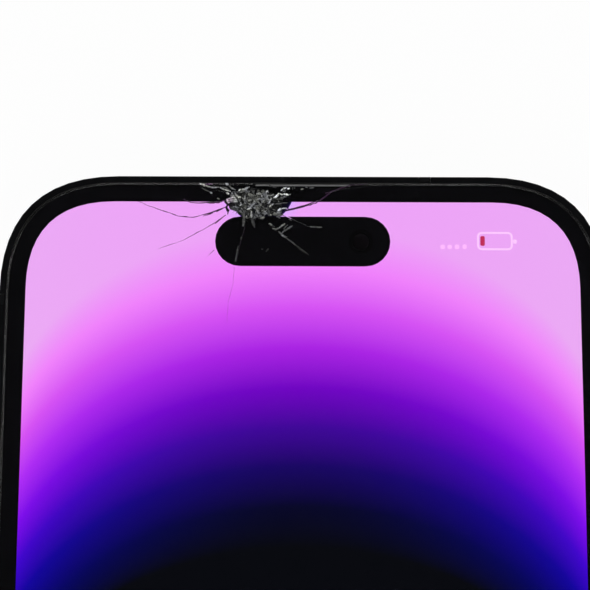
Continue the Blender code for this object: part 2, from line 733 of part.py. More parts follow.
def make_front_sensors():
    """The selfie camera and the depth sensor bar look out through the panel's island opening."""
    face_z = PANEL_HIGH_Z - BOND_GAP
    body_z = face_z - SENSOR_DEPTH
    half = ISLAND_HEIGHT / 2 - ISLAND_OVERLAP - INNER_GAP
    camera = block(
        "front_camera",
        (FRONT_LENS_X - half - INNER_GAP, ISLAND_Y - half, body_z),
        (FRONT_LENS_X + half, ISLAND_Y + half, ROOM_HIGH_Z),
        material=BLACK_PLASTIC,
    )
    barrel = round_bar(
        "front_barrel", FRONT_LENS_RADIUS, ROOM_HIGH_Z - JOIN_OVERLAP, face_z, FACE_UP,
        (FRONT_LENS_X, ISLAND_Y, 0), ROUND_STEPS, CUTTERS,
    )
    join(camera, barrel)
    curve = flat_curve(HOLE_STEPS // 2)
    add_rounded(curve, SENSOR_BAR_LENGTH, 2 * half, half, (SENSOR_BAR_X, ISLAND_Y))
    extruded("depth_sensor_bar", curve, body_z, face_z, material=BLACK_PLASTIC)


# The band, its inserts and the rear glass


def make_band():
    curve = flat_curve()
    add_body_outline(curve, 0)
    band = extruded("mid_frame", curve, BAND_LOW_Z, BAND_HIGH_Z, material=BLACK_METAL)
    soften(band, BAND_EDGE, 3)
    windows = flat_curve(ROUND_STEPS // 4)
    window = PLATEAU_SIZE - 2 * FLOOR_WINDOW_MARGIN
    middle = PLATEAU_X - FLOOR_WINDOW_SHIFT, PLATEAU_Y - FLOOR_WINDOW_SHIFT
    add_rounded(windows, window, window, PLATEAU_CORNER, middle)
    add_circle(windows, MAGNET_OUTER + COIL_WINDOW_MARGIN, (0, COIL_Y))
    cut(
        band,
        outline_cutter("front_recess_cutter", LIP_WIDTH, LEDGE_Z, BAND_HIGH_Z + OVERCUT),
        outline_cutter("rear_recess_cutter", LIP_WIDTH, BAND_LOW_Z - OVERCUT, FLOOR_LOW_Z),
        outline_cutter("room_cutter", BAND_WALL, FLOOR_Z, LEDGE_Z + OVERCUT),
        extruded(
            "floor_windows_cutter", windows, FLOOR_LOW_Z - OVERCUT, FLOOR_Z + OVERCUT, collection=CUTTERS
        ),
    )
    return band


def antenna_section():
    """The band's outer section where an insert fills it, drawn with X outwards and Y up."""
    height = BAND_HIGH_Z - BAND_LOW_Z
    steps = 3
    points = [(-ANTENNA_DEPTH, -height / 2), (-ANTENNA_DEPTH, height / 2)]
    for i in range(steps + 1):
        angle = math.pi / 2 * (1 - i / steps)
        points.append((
            BAND_EDGE * (math.cos(angle) - 1), height / 2 - BAND_EDGE * (1 - math.sin(angle))
        ))
    points += [(x, -y) for x, y in reversed(points[2:])]
    return points


def make_antenna_inserts(band):
    """Plastic fills a groove at each break in the band: two in each side and one in each end."""
    along = BODY_LENGTH / 2 - ANTENNA_FROM_END
    wall_x, wall_y = BODY_WIDTH / 2, BODY_LENGTH / 2
    spots = {
        "left_upper": (-wall_x, along, 180),
        "left_lower": (-wall_x, -along, 180),
        "right_upper": (wall_x, along, 0),
        "right_lower": (wall_x, -along, 0),
        "top": (ANTENNA_END_X, wall_y, 90),
        "bottom": (-ANTENNA_END_X - SOUND_HOLE_PITCH * SOUND_HOLE_COUNT / 2, -wall_y, -90),
    }
    stand = Matrix.Rotation(math.radians(90), 4, "X")
    for name, (x, y, heading) in spots.items():
        turn = Matrix.Rotation(math.radians(heading), 4, "Z") @ stand
        place = (x, y, BAND_MIDDLE_Z)
        curve = flat_curve()
        add_polygon(curve, antenna_section())
        half = ANTENNA_WIDTH / 2
        extruded(
            f"antenna_insert_{name}", curve, -half, half, turn, place, material=ANTENNA_PLASTIC
        )
        groove = flat_curve()
        depth = ANTENNA_DEPTH + BOND_GAP
        add_rounded(groove, 2 * depth, BAND_HIGH_Z - BAND_LOW_Z + OVERCUT, GROOVE_CORNER)
        side = half + BOND_GAP
        cut(band, extruded(f"antenna_{name}_cutter", groove, -side, side, turn, place, CUTTERS))


def make_rear_glass():
    curve = flat_curve()
    add_body_outline(curve, GLASS_INSET)
    rear = extruded("rear_glass", curve, REAR_FACE_Z, REAR_FACE_Z + REAR_GLASS, material=BACK_GLASS)
    soften(rear, GLASS_EDGE, 2)
    raised = flat_curve()
    add_rounded(
        raised, PLATEAU_SIZE, PLATEAU_SIZE, PLATEAU_CORNER, (PLATEAU_X, PLATEAU_Y), SOFT_HANDLE
    )
    plateau = extruded(
        "plateau_joiner", raised, REAR_FACE_Z - PLATEAU_RISE, REAR_FACE_Z + REAR_GLASS / 2,
        collection=CUTTERS,
    )
    soften(plateau, PLATEAU_EDGE, 3)
    join(rear, plateau)
    low, high = REAR_FACE_Z - PLATEAU_RISE - OVERCUT, REAR_FACE_Z + REAR_GLASS + OVERCUT
    for name, offset in CAMERAS.items():
        place = (*camera_place(offset), 0)
        radius = RING_RADIUS + LAYER_GAP
        cut(rear, round_bar(f"{name}_hole_cutter", radius, low, high, FACE_UP, place, ROUND_STEPS, CUTTERS))
    for name, offset in SMALL_WINDOWS.items():
        place = (*camera_place(offset), 0)
        radius = SMALL_WINDOW_RADIUS + LAYER_GAP
        cut(rear, round_bar(f"{name}_cutter", radius, low, high, FACE_UP, place, ROUND_STEPS, CUTTERS))


def make_rear_cameras():
    """Each camera is a module whose barrel stands in a turned ring, under a clear cover."""
    seat = RING_RADIUS - RING_WALL + COVER_SEAT_WIDTH
    bore = RING_RADIUS - RING_WALL
    ring_high = FLOOR_LOW_Z - LAYER_GAP
    shelf = LENS_COVER_SUNK + LENS_COVER + BOND_GAP
    ring = [
        (RING_RADIUS, ring_high), (RING_RADIUS, RING_CHAMFER), (RING_RADIUS - RING_CHAMFER, 0), (seat, 0),
        (seat, shelf), (bore, shelf), (bore, ring_high),
    ]
    barrel_radius = bore - BARREL_CLEARANCE
    barrel_high = ROOM_LOW_Z + JOIN_OVERLAP
    front = shelf + BARREL_SUNK
    barrel = [
        (0, barrel_high), (barrel_radius, barrel_high), (barrel_radius, front), (CONE_RADIUS, front),
        (FRONT_ELEMENT_RADIUS, front + CONE_DEPTH), (0, front + CONE_DEPTH - FRONT_ELEMENT_CROWN),
    ]
    for name, offset in CAMERAS.items():
        x, y = camera_place(offset)
        turned_piece(f"lens_ring_{name}", ring, (x, y, 0), material=BLACK_METAL)
        round_bar(
            f"lens_cover_{name}", seat - LAYER_GAP, LENS_COVER_SUNK, LENS_COVER_SUNK + LENS_COVER, FACE_UP,
            (x, y, 0), ROUND_STEPS, material=LENS_GLASS,
        )
        half = CAMERA_BODY / 2
        module = block(
            f"{name}_camera", (x - half, y - half, ROOM_LOW_Z), (x + half, y + half, ROOM_HIGH_Z),
            material=BLACK_PLASTIC,
        )
        soften(module, MODULE_EDGE, 1)
        join(module, turned_piece(f"{name}_barrel", barrel, (x, y, 0), ROUND_STEPS, CUTTERS))
    for name, offset in SMALL_WINDOWS.items():
        place = (*camera_place(offset), 0)
        low = REAR_FACE_Z - PLATEAU_RISE + LAYER_GAP
        window = round_bar(
            name, SMALL_WINDOW_RADIUS, low, FLOOR_LOW_Z - LAYER_GAP, FACE_UP, place, ROUND_STEPS,
            material=LENS_GLASS,
        )
        soften(window, WINDOW_EDGE, 1)


# The sides: buttons, ring switch, card tray


def make_button(band, name, side, y, length):
    """A cap in a pocket of the side wall, with a stem through the wall to its switch."""
    outer = side * BODY_WIDTH / 2
    cap = flat_curve(HOLE_STEPS // 3)
    add_rounded(cap, length, BUTTON_HEIGHT, BUTTON_HEIGHT / 2)
    face, back = outer + side * BUTTON_PROUD, outer + side * (BUTTON_PROUD - BUTTON_DEPTH)
    low, high = sorted((face, back))
    place = (0, y, BAND_MIDDLE_Z)
    button = extruded(name, cap, low, high, FACE_SIDE, place, material=BLACK_METAL)
    soften(button, BUTTON_EDGE, 2)
    stem_length = length * STEM_SHARE
    stem = flat_curve(HOLE_STEPS // 4)
    add_rounded(stem, stem_length, STEM_HEIGHT, STEM_HEIGHT / 3)
    inner = outer - side * (BAND_WALL - STEM_SHORT)
    low, high = sorted((inner, back + side * BUTTON_DEPTH / 3))
    join(button, extruded(f"{name}_stem", stem, low, high, FACE_SIDE, place, CUTTERS))
    pocket = BUTTON_DEPTH - BUTTON_PROUD + BUTTON_TRAVEL + SLIDE_CLEARANCE
    gap = 2 * SLIDE_CLEARANCE
    cut(
        band,
        side_cutter(
            f"{name}_pocket_cutter", side, length + gap, BUTTON_HEIGHT + gap, -OVERCUT, pocket, y,
            BAND_MIDDLE_Z,
        ),
        side_cutter(
            f"{name}_slot_cutter", side, stem_length + gap, STEM_HEIGHT + gap, pocket - CUT_OVERLAP,
            BAND_WALL + OVERCUT, y, BAND_MIDDLE_Z, STEM_HEIGHT / 3,
        ),
    )


def make_switch_strip(name, side, low_y, high_y, dome_ys):
    """A strip of dome switches behind the side wall, held off it by a foot at each end."""
    wall = side * ROOM_SIDE_X
    dome_face = wall - side * (DOME_GAP - STEM_SHORT)
    strip_face = dome_face - side * DOME_HEIGHT
    strip_back = strip_face - side * STRIP_THICKNESS
    low_z, high_z = BAND_MIDDLE_Z - STRIP_HEIGHT / 2, BAND_MIDDLE_Z + STRIP_HEIGHT / 2

    def between(first_x, second_x, first_y, second_y):
        low_x, high_x = sorted((first_x, second_x))
        return (low_x, first_y, low_z), (high_x, second_y, high_z)

    strip = block(name, *between(strip_face, strip_back, low_y, high_y), material=STEEL)
    foot_face = wall - side * LAYER_GAP
    inside = (strip_face + strip_back) / 2
    for end, (first, second) in {
        "low": (low_y, low_y + STRIP_FOOT), "high": (high_y - STRIP_FOOT, high_y),
    }.items():
        join(strip, block(f"{name}_{end}_foot", *between(foot_face, inside, first, second), CUTTERS))
    for number, y in enumerate(dome_ys, 1):
        low, high = sorted((dome_face, inside))
        join(strip, round_bar(
            f"{name}_dome_{number}", DOME_RADIUS, low, high, FACE_SIDE, (0, y, BAND_MIDDLE_Z), HOLE_STEPS,
            CUTTERS,
        ))


def make_ring_switch(band):
    """A lever that slides between two stops, towards the screen or away from it."""
    side = -1
    outer = side * BODY_WIDTH / 2
    rest_z = BAND_MIDDLE_Z - SWITCH_TRAVEL / 2
    lever = flat_curve(HOLE_STEPS // 3)
    add_rounded(lever, SWITCH_LENGTH, SWITCH_HEIGHT, SWITCH_HEIGHT / 2)
    back = outer - side * (BUTTON_DEPTH - BUTTON_PROUD)
    low, high = sorted((outer + side * BUTTON_PROUD, back))
    switch = extruded(
        "ring_switch", lever, low, high, FACE_SIDE, (0, SWITCH_Y, rest_z), material=BLACK_METAL
    )
    soften(switch, BUTTON_EDGE, 2)
    stem = flat_curve(HOLE_STEPS // 4)
    add_rounded(stem, SWITCH_LENGTH / 3, STEM_HEIGHT, STEM_HEIGHT / 3)
    low, high = sorted((outer - side * BAND_WALL, back + side * BUTTON_DEPTH / 3))
    join(switch, extruded(
        "ring_switch_stem", stem, low, high, FACE_SIDE, (0, SWITCH_Y, rest_z), CUTTERS
    ))
    gap = 2 * SLIDE_CLEARANCE
    pocket = BUTTON_DEPTH - BUTTON_PROUD + SLIDE_CLEARANCE
    cut(
        band,
        side_cutter(
            "ring_switch_pocket_cutter", side, SWITCH_LENGTH + gap, SWITCH_HEIGHT + SWITCH_TRAVEL + gap,
            -OVERCUT, pocket, SWITCH_Y, BAND_MIDDLE_Z, SWITCH_HEIGHT / 2,
        ),
        side_cutter(
            "ring_switch_slot_cutter", side, SWITCH_LENGTH / 3 + gap, STEM_HEIGHT + SWITCH_TRAVEL + gap,
            pocket - CUT_OVERLAP, BAND_WALL + OVERCUT, SWITCH_Y, BAND_MIDDLE_Z, STEM_HEIGHT / 3,
        ),
    )


def make_card_tray(band):
    """The card tray: a face flush with the band, and a carriage with a window for the card."""
    side = -1
    outer = side * BODY_WIDTH / 2
    face = flat_curve(HOLE_STEPS // 3)
    add_rounded(face, TRAY_FACE_LENGTH, TRAY_FACE_HEIGHT, TRAY_FACE_HEIGHT / 2)
    add_circle(face, PIN_HOLE_RADIUS, (-TRAY_FACE_LENGTH / 2 + TRAY_FACE_HEIGHT / 2, 0))
    back = outer - side * TRAY_FACE_DEPTH
    low, high = sorted((outer, back))
    place = (0, TRAY_Y, BAND_MIDDLE_Z)
    tray = extruded("card_tray", face, low, high, FACE_SIDE, place, material=BLACK_METAL)
    half = TRAY_THICKNESS / 2
    end_x = outer - side * TRAY_LENGTH
    carriage = flat_curve(HOLE_STEPS // 3)
    start_x = back + side * TRAY_FACE_DEPTH / 2
    middle_x = (start_x + end_x) / 2
    shift = (TRAY_FACE_LENGTH - TRAY_WIDTH) / 2 - TRAY_FACE_HEIGHT / 4
    tray_middle = (middle_x, TRAY_Y + shift)
    add_rounded(carriage, abs(end_x - start_x), TRAY_WIDTH, TRAY_CORNER, tray_middle)
    window_x = end_x + side * (CARD_LENGTH / 2 + TRAY_FRAME)
    add_rounded(carriage, CARD_LENGTH, CARD_WIDTH, CARD_CORNER, (window_x, tray_middle[1]))
    join(tray, extruded(
        "tray_carriage", carriage, BAND_MIDDLE_Z - half, BAND_MIDDLE_Z + half, collection=CUTTERS
    ))
    gap = 2 * SLIDE_CLEARANCE
    pocket = TRAY_FACE_DEPTH + SLIDE_CLEARANCE
    cut(
        band,
        side_cutter(
            "tray_face_cutter", side, TRAY_FACE_LENGTH + gap, TRAY_FACE_HEIGHT + gap, -OVERCUT, pocket,
            TRAY_Y, BAND_MIDDLE_Z,
        ),
        side_cutter(
            "tray_slot_cutter", side, TRAY_WIDTH + gap, TRAY_THICKNESS + gap, pocket - CUT_OVERLAP,
            BAND_WALL + OVERCUT, tray_middle[1], BAND_MIDDLE_Z, TRAY_THICKNESS / 3,
        ),
    )
    make_card_reader(end_x, tray_middle[1], gap)


def make_card_reader(tray_end_x, middle_y, gap):
    """A cage on the board that the tray slides into, open towards the side wall."""
    wall_x = -ROOM_SIDE_X
    room_width = TRAY_WIDTH + gap
    room_half = TRAY_THICKNESS / 2 + SLIDE_CLEARANCE
    base_z = ROOM_LOW_Z + BOARD_THICKNESS + LAYER_GAP
    reader = block(
        "card_reader",
        (wall_x + LAYER_GAP, middle_y - room_width / 2 - READER_WALL, base_z),
        (tray_end_x + INNER_GAP + READER_WALL, middle_y + room_width / 2 + READER_WALL,
         BAND_MIDDLE_Z + room_half + READER_WALL),
        material=STEEL,
    )
    room = block(
        "card_room_cutter",
        (wall_x - OVERCUT, middle_y - room_width / 2, BAND_MIDDLE_Z - room_half),
        (tray_end_x + INNER_GAP, middle_y + room_width / 2, BAND_MIDDLE_Z + room_half),
        CUTTERS,
    )
    cut(reader, room)


# The bottom end


def end_bar(name, radius, depth_low, depth_high, x, collection, material=None):
    """A cylinder at the bottom end, from one depth to another under the end's outer face."""
    end = BODY_LENGTH / 2
    place = (x, 0, BAND_MIDDLE_Z)
    return round_bar(
        name, radius, end - depth_high, end - depth_low, FACE_END, place, HOLE_STEPS, collection, material
    )


def make_charging_port(band):
    """A shell with a tongue, set in the bottom end."""
    end = BODY_LENGTH / 2
    place = (0, 0, BAND_MIDDLE_Z)
    mouth, back = end - PORT_SETBACK, end - PORT_SETBACK - PORT_DEPTH
    outer_length, outer_height = PORT_LENGTH + 2 * PORT_WALL, PORT_HEIGHT + 2 * PORT_WALL
    shell = flat_curve(HOLE_STEPS // 2)
    add_rounded(shell, outer_length, outer_height, outer_height / 2)
    port = extruded("charging_port", shell, back, mouth, FACE_END, place, material=STEEL)
    hollow = flat_curve(HOLE_STEPS // 2)
    add_rounded(hollow, PORT_LENGTH, PORT_HEIGHT, PORT_HEIGHT / 2)
    cut(port, extruded(
        "port_room_cutter", hollow, back + 2 * PORT_WALL, mouth + OVERCUT, FACE_END, place, CUTTERS
    ))
    tongue = flat_curve(HOLE_STEPS // 3)
    add_rounded(tongue, TONGUE_LENGTH, TONGUE_THICKNESS, TONGUE_THICKNESS / 2.5)
    join(port, extruded(
        "port_tongue", tongue, back + PORT_WALL, mouth - TONGUE_SETBACK, FACE_END, place, CUTTERS
    ))
    hole = flat_curve(HOLE_STEPS // 2)
    gap = 2 * LAYER_GAP
    add_rounded(hole, outer_length + gap, outer_height + gap, outer_height / 2)
    cut(band, extruded(
        "port_hole_cutter", hole, end - BAND_WALL - OVERCUT, end + OVERCUT, FACE_END, place, CUTTERS
    ))


def make_bottom_holes(band):
    """A row of sound holes and a screw on each side of the port."""
    for side in (-1, 1):
        for i in range(SOUND_HOLE_COUNT):
            x = side * (SOUND_HOLE_FIRST_X + i * SOUND_HOLE_PITCH)
            name = f"sound_hole_{'left' if side < 0 else 'right'}_{i}_cutter"
            cut(band, end_bar(name, SOUND_HOLE_RADIUS, -OVERCUT, BAND_WALL + OVERCUT, x, CUTTERS))
    for word, side in (("left", -1), ("right", 1)):
        x = side * SCREW_X
        name = f"bottom_screw_{word}"
        deep = SCREW_SUNK + SCREW_HEAD
        screw = end_bar(name, SCREW_HEAD_RADIUS, SCREW_SUNK, deep, x, PIECES, STEEL)
        join(screw, end_bar(
            f"{name}_shank", SCREW_SHANK_RADIUS, deep - SCREW_HEAD / 2, SCREW_SUNK + SCREW_LENGTH, x, CUTTERS
        ))
        for number in range(2):
            wide, tall = (SCREW_SLOT_LENGTH / 2, SCREW_SLOT / 2)[:: 1 - 2 * number]
            recess = block(
                f"{name}_slot_{number}",
                (x - wide, -BODY_LENGTH / 2 - OVERCUT, BAND_MIDDLE_Z - tall),
                (x + wide, -BODY_LENGTH / 2 + SCREW_SUNK + SCREW_HEAD / 2, BAND_MIDDLE_Z + tall),
                CUTTERS,
            )
            cut(screw, recess)
        clear = LAYER_GAP
        cut(
            band,
            end_bar(
                f"{name}_head_cutter", SCREW_HEAD_RADIUS + clear, -OVERCUT, deep + clear, x, CUTTERS
            ),
            end_bar(
                f"{name}_shank_cutter", SCREW_SHANK_RADIUS + clear, deep, BAND_WALL + OVERCUT, x, CUTTERS
            ),
        )


# What the housing holds


def make_battery():
    """An L-shaped cell: its foot reaches under the board's end, to the left wall."""
    right = ROOM_SIDE_X - BATTERY_FROM_SIDE
    left = BOARD_RIGHT + BATTERY_FROM_BOARD
    bottom = -BODY_LENGTH / 2 + BATTERY_FROM_END
    curve = flat_curve()
    add_polygon(curve, [
        (left, BATTERY_TOP), (left, BATTERY_LEG_TOP), (-right, BATTERY_LEG_TOP),
        (-right, bottom), (right, bottom), (right, BATTERY_TOP),
    ])
    low = ROOM_LOW_Z + FLEX_THICKNESS + LAYER_GAP
    cell = extruded("battery", curve, low, low + BATTERY_THICKNESS - FLEX_THICKNESS, material=CELL_WRAP)
    soften(cell, BATTERY_EDGE, 2)


def make_board():
    centre = ((BOARD_LEFT + BOARD_RIGHT) / 2, (BOARD_TOP + BOARD_BOTTOM) / 2)
    curve = flat_curve(HOLE_STEPS // 4)
    add_rounded(curve, BOARD_WIDTH, BOARD_LENGTH, BOARD_CORNER, centre)
    board_high = ROOM_LOW_Z + BOARD_THICKNESS
    extruded("logic_board", curve, ROOM_LOW_Z, board_high, material=BOARD_GREEN)
    shield_bottom = TRAY_Y + TRAY_FACE_LENGTH / 2 + SHIELD_FROM_TRAY
    shield = block(
        "board_shield",
        (BOARD_LEFT + SHIELD_MARGIN, shield_bottom, board_high + LAYER_GAP),
        (BOARD_RIGHT - SHIELD_MARGIN, BOARD_TOP - SHIELD_MARGIN, board_high + LAYER_GAP + SHIELD_HEIGHT),
        material=STEEL,
    )
    soften(shield, SHIELD_EDGE, 1)


def make_bottom_modules():
    """The loudspeaker to the right of the port follows the corner, and the haptic engine is to its left."""
    end_y = -ROOM_END_Y + INNER_GAP
    speaker = block(
        "loudspeaker", (PORT_HALF + SPEAKER_FROM_PORT, end_y, ROOM_LOW_Z),
        (ROOM_SIDE_X - SPEAKER_FROM_SIDE, end_y + SPEAKER_LENGTH, ROOM_LOW_Z + SPEAKER_HEIGHT),
        material=BLACK_PLASTIC,
    )
    soften(speaker, MODULE_EDGE, 2)
    combine(
        speaker, outline_cutter("speaker_corner_cutter", BAND_WALL + INNER_GAP, FLOOR_Z, LEDGE_Z),
        "INTERSECT",
    )
    haptic_y = -ROOM_END_Y + HAPTIC_FROM_END
    haptic = block(
        "haptic_engine", (-ROOM_SIDE_X + HAPTIC_FROM_SIDE, haptic_y, ROOM_LOW_Z),
        (-PORT_HALF - HAPTIC_FROM_PORT, haptic_y + HAPTIC_WIDTH, ROOM_LOW_Z + HAPTIC_HEIGHT), material=STEEL,
    )
    soften(haptic, MODULE_EDGE, 1)


def make_charging_coil():
    """A flat coil and a ring of magnets in the floor's round window, against the rear glass."""
    low = FLOOR_LOW_Z
    coil = flat_curve(ROUND_STEPS // 4)
    add_circle(coil, COIL_OUTER, (0, COIL_Y))
    add_circle(coil, COIL_INNER, (0, COIL_Y))
    extruded("charging_coil", coil, low, low + COIL_THICKNESS, material=COPPER)
    magnets = flat_curve(ROUND_STEPS // 4)
    add_circle(magnets, MAGNET_OUTER, (0, COIL_Y))
    add_circle(magnets, MAGNET_INNER, (0, COIL_Y))
    extruded("magnet_ring", magnets, low, low + COIL_THICKNESS, material=STEEL)


def make_port_flex():
    """The flat cable from the charging port, under the battery, to a pad beside the board."""
    port_back = -BODY_LENGTH / 2 + PORT_SETBACK + PORT_DEPTH
    half = FLEX_WIDTH / 2
    top = BATTERY_TOP + FLEX_PAST_BATTERY
    curve = flat_curve()
    add_polygon(curve, [
        (FLEX_X - half, port_back), (FLEX_X + half, port_back), (FLEX_X + half, top),
        (BOARD_RIGHT + INNER_GAP, top), (BOARD_RIGHT + INNER_GAP, top - FLEX_WIDTH),
        (FLEX_X - half, top - FLEX_WIDTH),
    ])
    extruded(
        "port_flex", curve, ROOM_LOW_Z, ROOM_LOW_Z + FLEX_THICKNESS, material=FLEX_FILM
    )


def main():
    randomly = random.Random(BREAK_SEED)
    angles, shares, cores = crater_edges(randomly)
    make_cover_glass(angles, shares)
    make_shards(randomly, shard_outlines(angles, shares, cores))
    make_masks()
    make_display()
    make_earpiece()
    make_front_sensors()
    band = make_band()
    make_antenna_inserts(band)
    make_rear_glass()
    make_rear_cameras()
    make_button(band, "side_button", 1, SIDE_BUTTON_Y, SIDE_BUTTON_LENGTH)
    make_button(band, "volume_up_button", -1, VOLUME_UP_Y, VOLUME_LENGTH)
    make_button(band, "volume_down_button", -1, VOLUME_DOWN_Y, VOLUME_LENGTH)
    half = VOLUME_LENGTH / 2
    side_half = SIDE_BUTTON_LENGTH / 2
    make_switch_strip(
        "side_button_switch", 1, SIDE_BUTTON_Y - side_half, SIDE_BUTTON_Y + side_half, [SIDE_BUTTON_Y]
    )
    make_switch_strip(
        "volume_switches", -1, VOLUME_DOWN_Y - half, VOLUME_UP_Y + half, [VOLUME_DOWN_Y, VOLUME_UP_Y]
    )
    make_ring_switch(band)
    make_card_tray(band)
    make_charging_port(band)
    make_bottom_holes(band)
    make_battery()
    make_board()
    make_bottom_modules()
    make_charging_coil()
    make_port_flex()


main()
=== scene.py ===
"""The looks of a shattered smartphone that lies on its back on a white table, lit by a plain soft studio."""

import math
import random

import bmesh
import bpy
from bpy.props import FloatProperty, FloatVectorProperty, IntProperty, PointerProperty
from bpy.types import Operator, Panel, PropertyGroup
from mathutils import Matrix, Vector


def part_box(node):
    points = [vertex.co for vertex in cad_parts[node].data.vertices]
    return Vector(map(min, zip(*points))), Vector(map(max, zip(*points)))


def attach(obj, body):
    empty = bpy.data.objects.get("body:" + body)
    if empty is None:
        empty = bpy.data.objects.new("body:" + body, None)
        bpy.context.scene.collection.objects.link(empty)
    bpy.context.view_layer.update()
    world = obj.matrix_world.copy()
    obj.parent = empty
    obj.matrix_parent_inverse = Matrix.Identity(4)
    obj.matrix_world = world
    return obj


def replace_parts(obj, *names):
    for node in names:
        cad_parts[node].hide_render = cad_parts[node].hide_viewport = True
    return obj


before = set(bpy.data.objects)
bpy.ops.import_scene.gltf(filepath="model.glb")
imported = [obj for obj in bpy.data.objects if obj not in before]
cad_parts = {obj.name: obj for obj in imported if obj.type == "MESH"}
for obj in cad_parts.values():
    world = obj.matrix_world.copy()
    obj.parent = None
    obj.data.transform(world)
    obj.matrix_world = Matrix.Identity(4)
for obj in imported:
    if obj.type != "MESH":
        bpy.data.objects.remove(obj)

bl_info = {
    "name": "Shattered phone look",
    "version": (1, 0, 0),
    "blender": (4, 5, 0),
    "location": "View3D > Sidebar > Phone",
    "description": "Finishes, broken glass, lit signs, lens stacks and a stage for a phone model",
    "category": "Object",
}

MM = 0.001
SEED = 21

# The camera that took the photograph, which is 590 pixels on a side
PHOTO_SIZE = 590
FOCAL_PIXELS = 1196.4
SENSOR_WIDTH = 36.0
CAMERA_PLACE = (0.15 * MM, 41.755 * MM, 150.3 * MM)
CAMERA_PITCH = math.radians(7.253)
CAMERA_YAW = math.radians(0.388)
CAMERA_ROLL = math.radians(0.266)

# Where the blow landed, as a pixel of the photograph
IMPACT_PIXEL = (257, 202)

# The body's outline and the lit picture's margin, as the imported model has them
BODY_CORNER = 13.8 * MM
LIT_INSET = 2.98 * MM
SOFT_HANDLE = 0.66
CIRCLE_HANDLE = 0.5523
CORNER_STEPS = 16

# The rear glass, whose camera plateau stands behind its rear face
REAR_GLASS_THICKNESS = 0.8 * MM
PLATEAU_SPLIT = 0.35 * MM

# The seal, in the gap between the band's lip and the glass
LIP_WIDTH = 0.75 * MM
SEAL_FOOT = 0.05 * MM
SEAL_DEPTH = 0.25 * MM

# The cracks that run out of the crater, in millimetres from the impact, with how pale and how wide each is
CRACKS = {
    "left_arc": (0.3, 0.15, (
        (-3.7, -0.62), (-5.55, -1.35), (-7.56, -1.87), (-9.34, -1.73), (-11.41, -1.01), (-13.24, -0.36),
        (-14.17, 0.06),
    )),
    "left_edge": (0.3, 0.13, ((-4.15, 0.03), (-6.88, -0.15), (-7.83, -0.1), (-8.82, 0.33))),
    "left_low": (0.4, 0.11, (
        (-3.69, -1.58), (-4.94, -2.51), (-5.93, -3.09), (-7.52, -4.0), (-8.61, -4.6), (-11.54, -5.63),
    )),
    "left_low_end": (0.42, 0.06, ((-5.01, -5.78), (-5.77, -6.5))),
    "right_arc": (0.26, 0.2, (
        (3.33, -1.07), (4.04, -0.88), (5.69, -0.39), (7.52, 0.24), (8.94, 1.33), (9.94, 1.73), (11.01, 2.06),
        (12.61, 2.18),
    )),
    "island_left": (0.16, 0.1, ((-1.39, -3.01), (-1.79, -4.32), (-2.39, -7.2))),
    "island_middle": (0.2, 0.1, ((-0.34, -2.17), (-0.23, -3.13))),
    "faint_down": (0.5, 0.04, ((-2.63, -7.8), (-2.72, -9.82), (-3.3, -12.07), (-3.39, -14.31))),
    "right_border": (0.3, 0.08, ((8.1, 1.09), (9.78, 1.63))),
}
CRACK_STEP = 0.5
CRACK_WANDER = 0.035
CRACK_NARROWING = 0.6
CRACK_WIDTHS = (0.45, 1.35)
CRACK_THICKNESS = 0.01 * MM

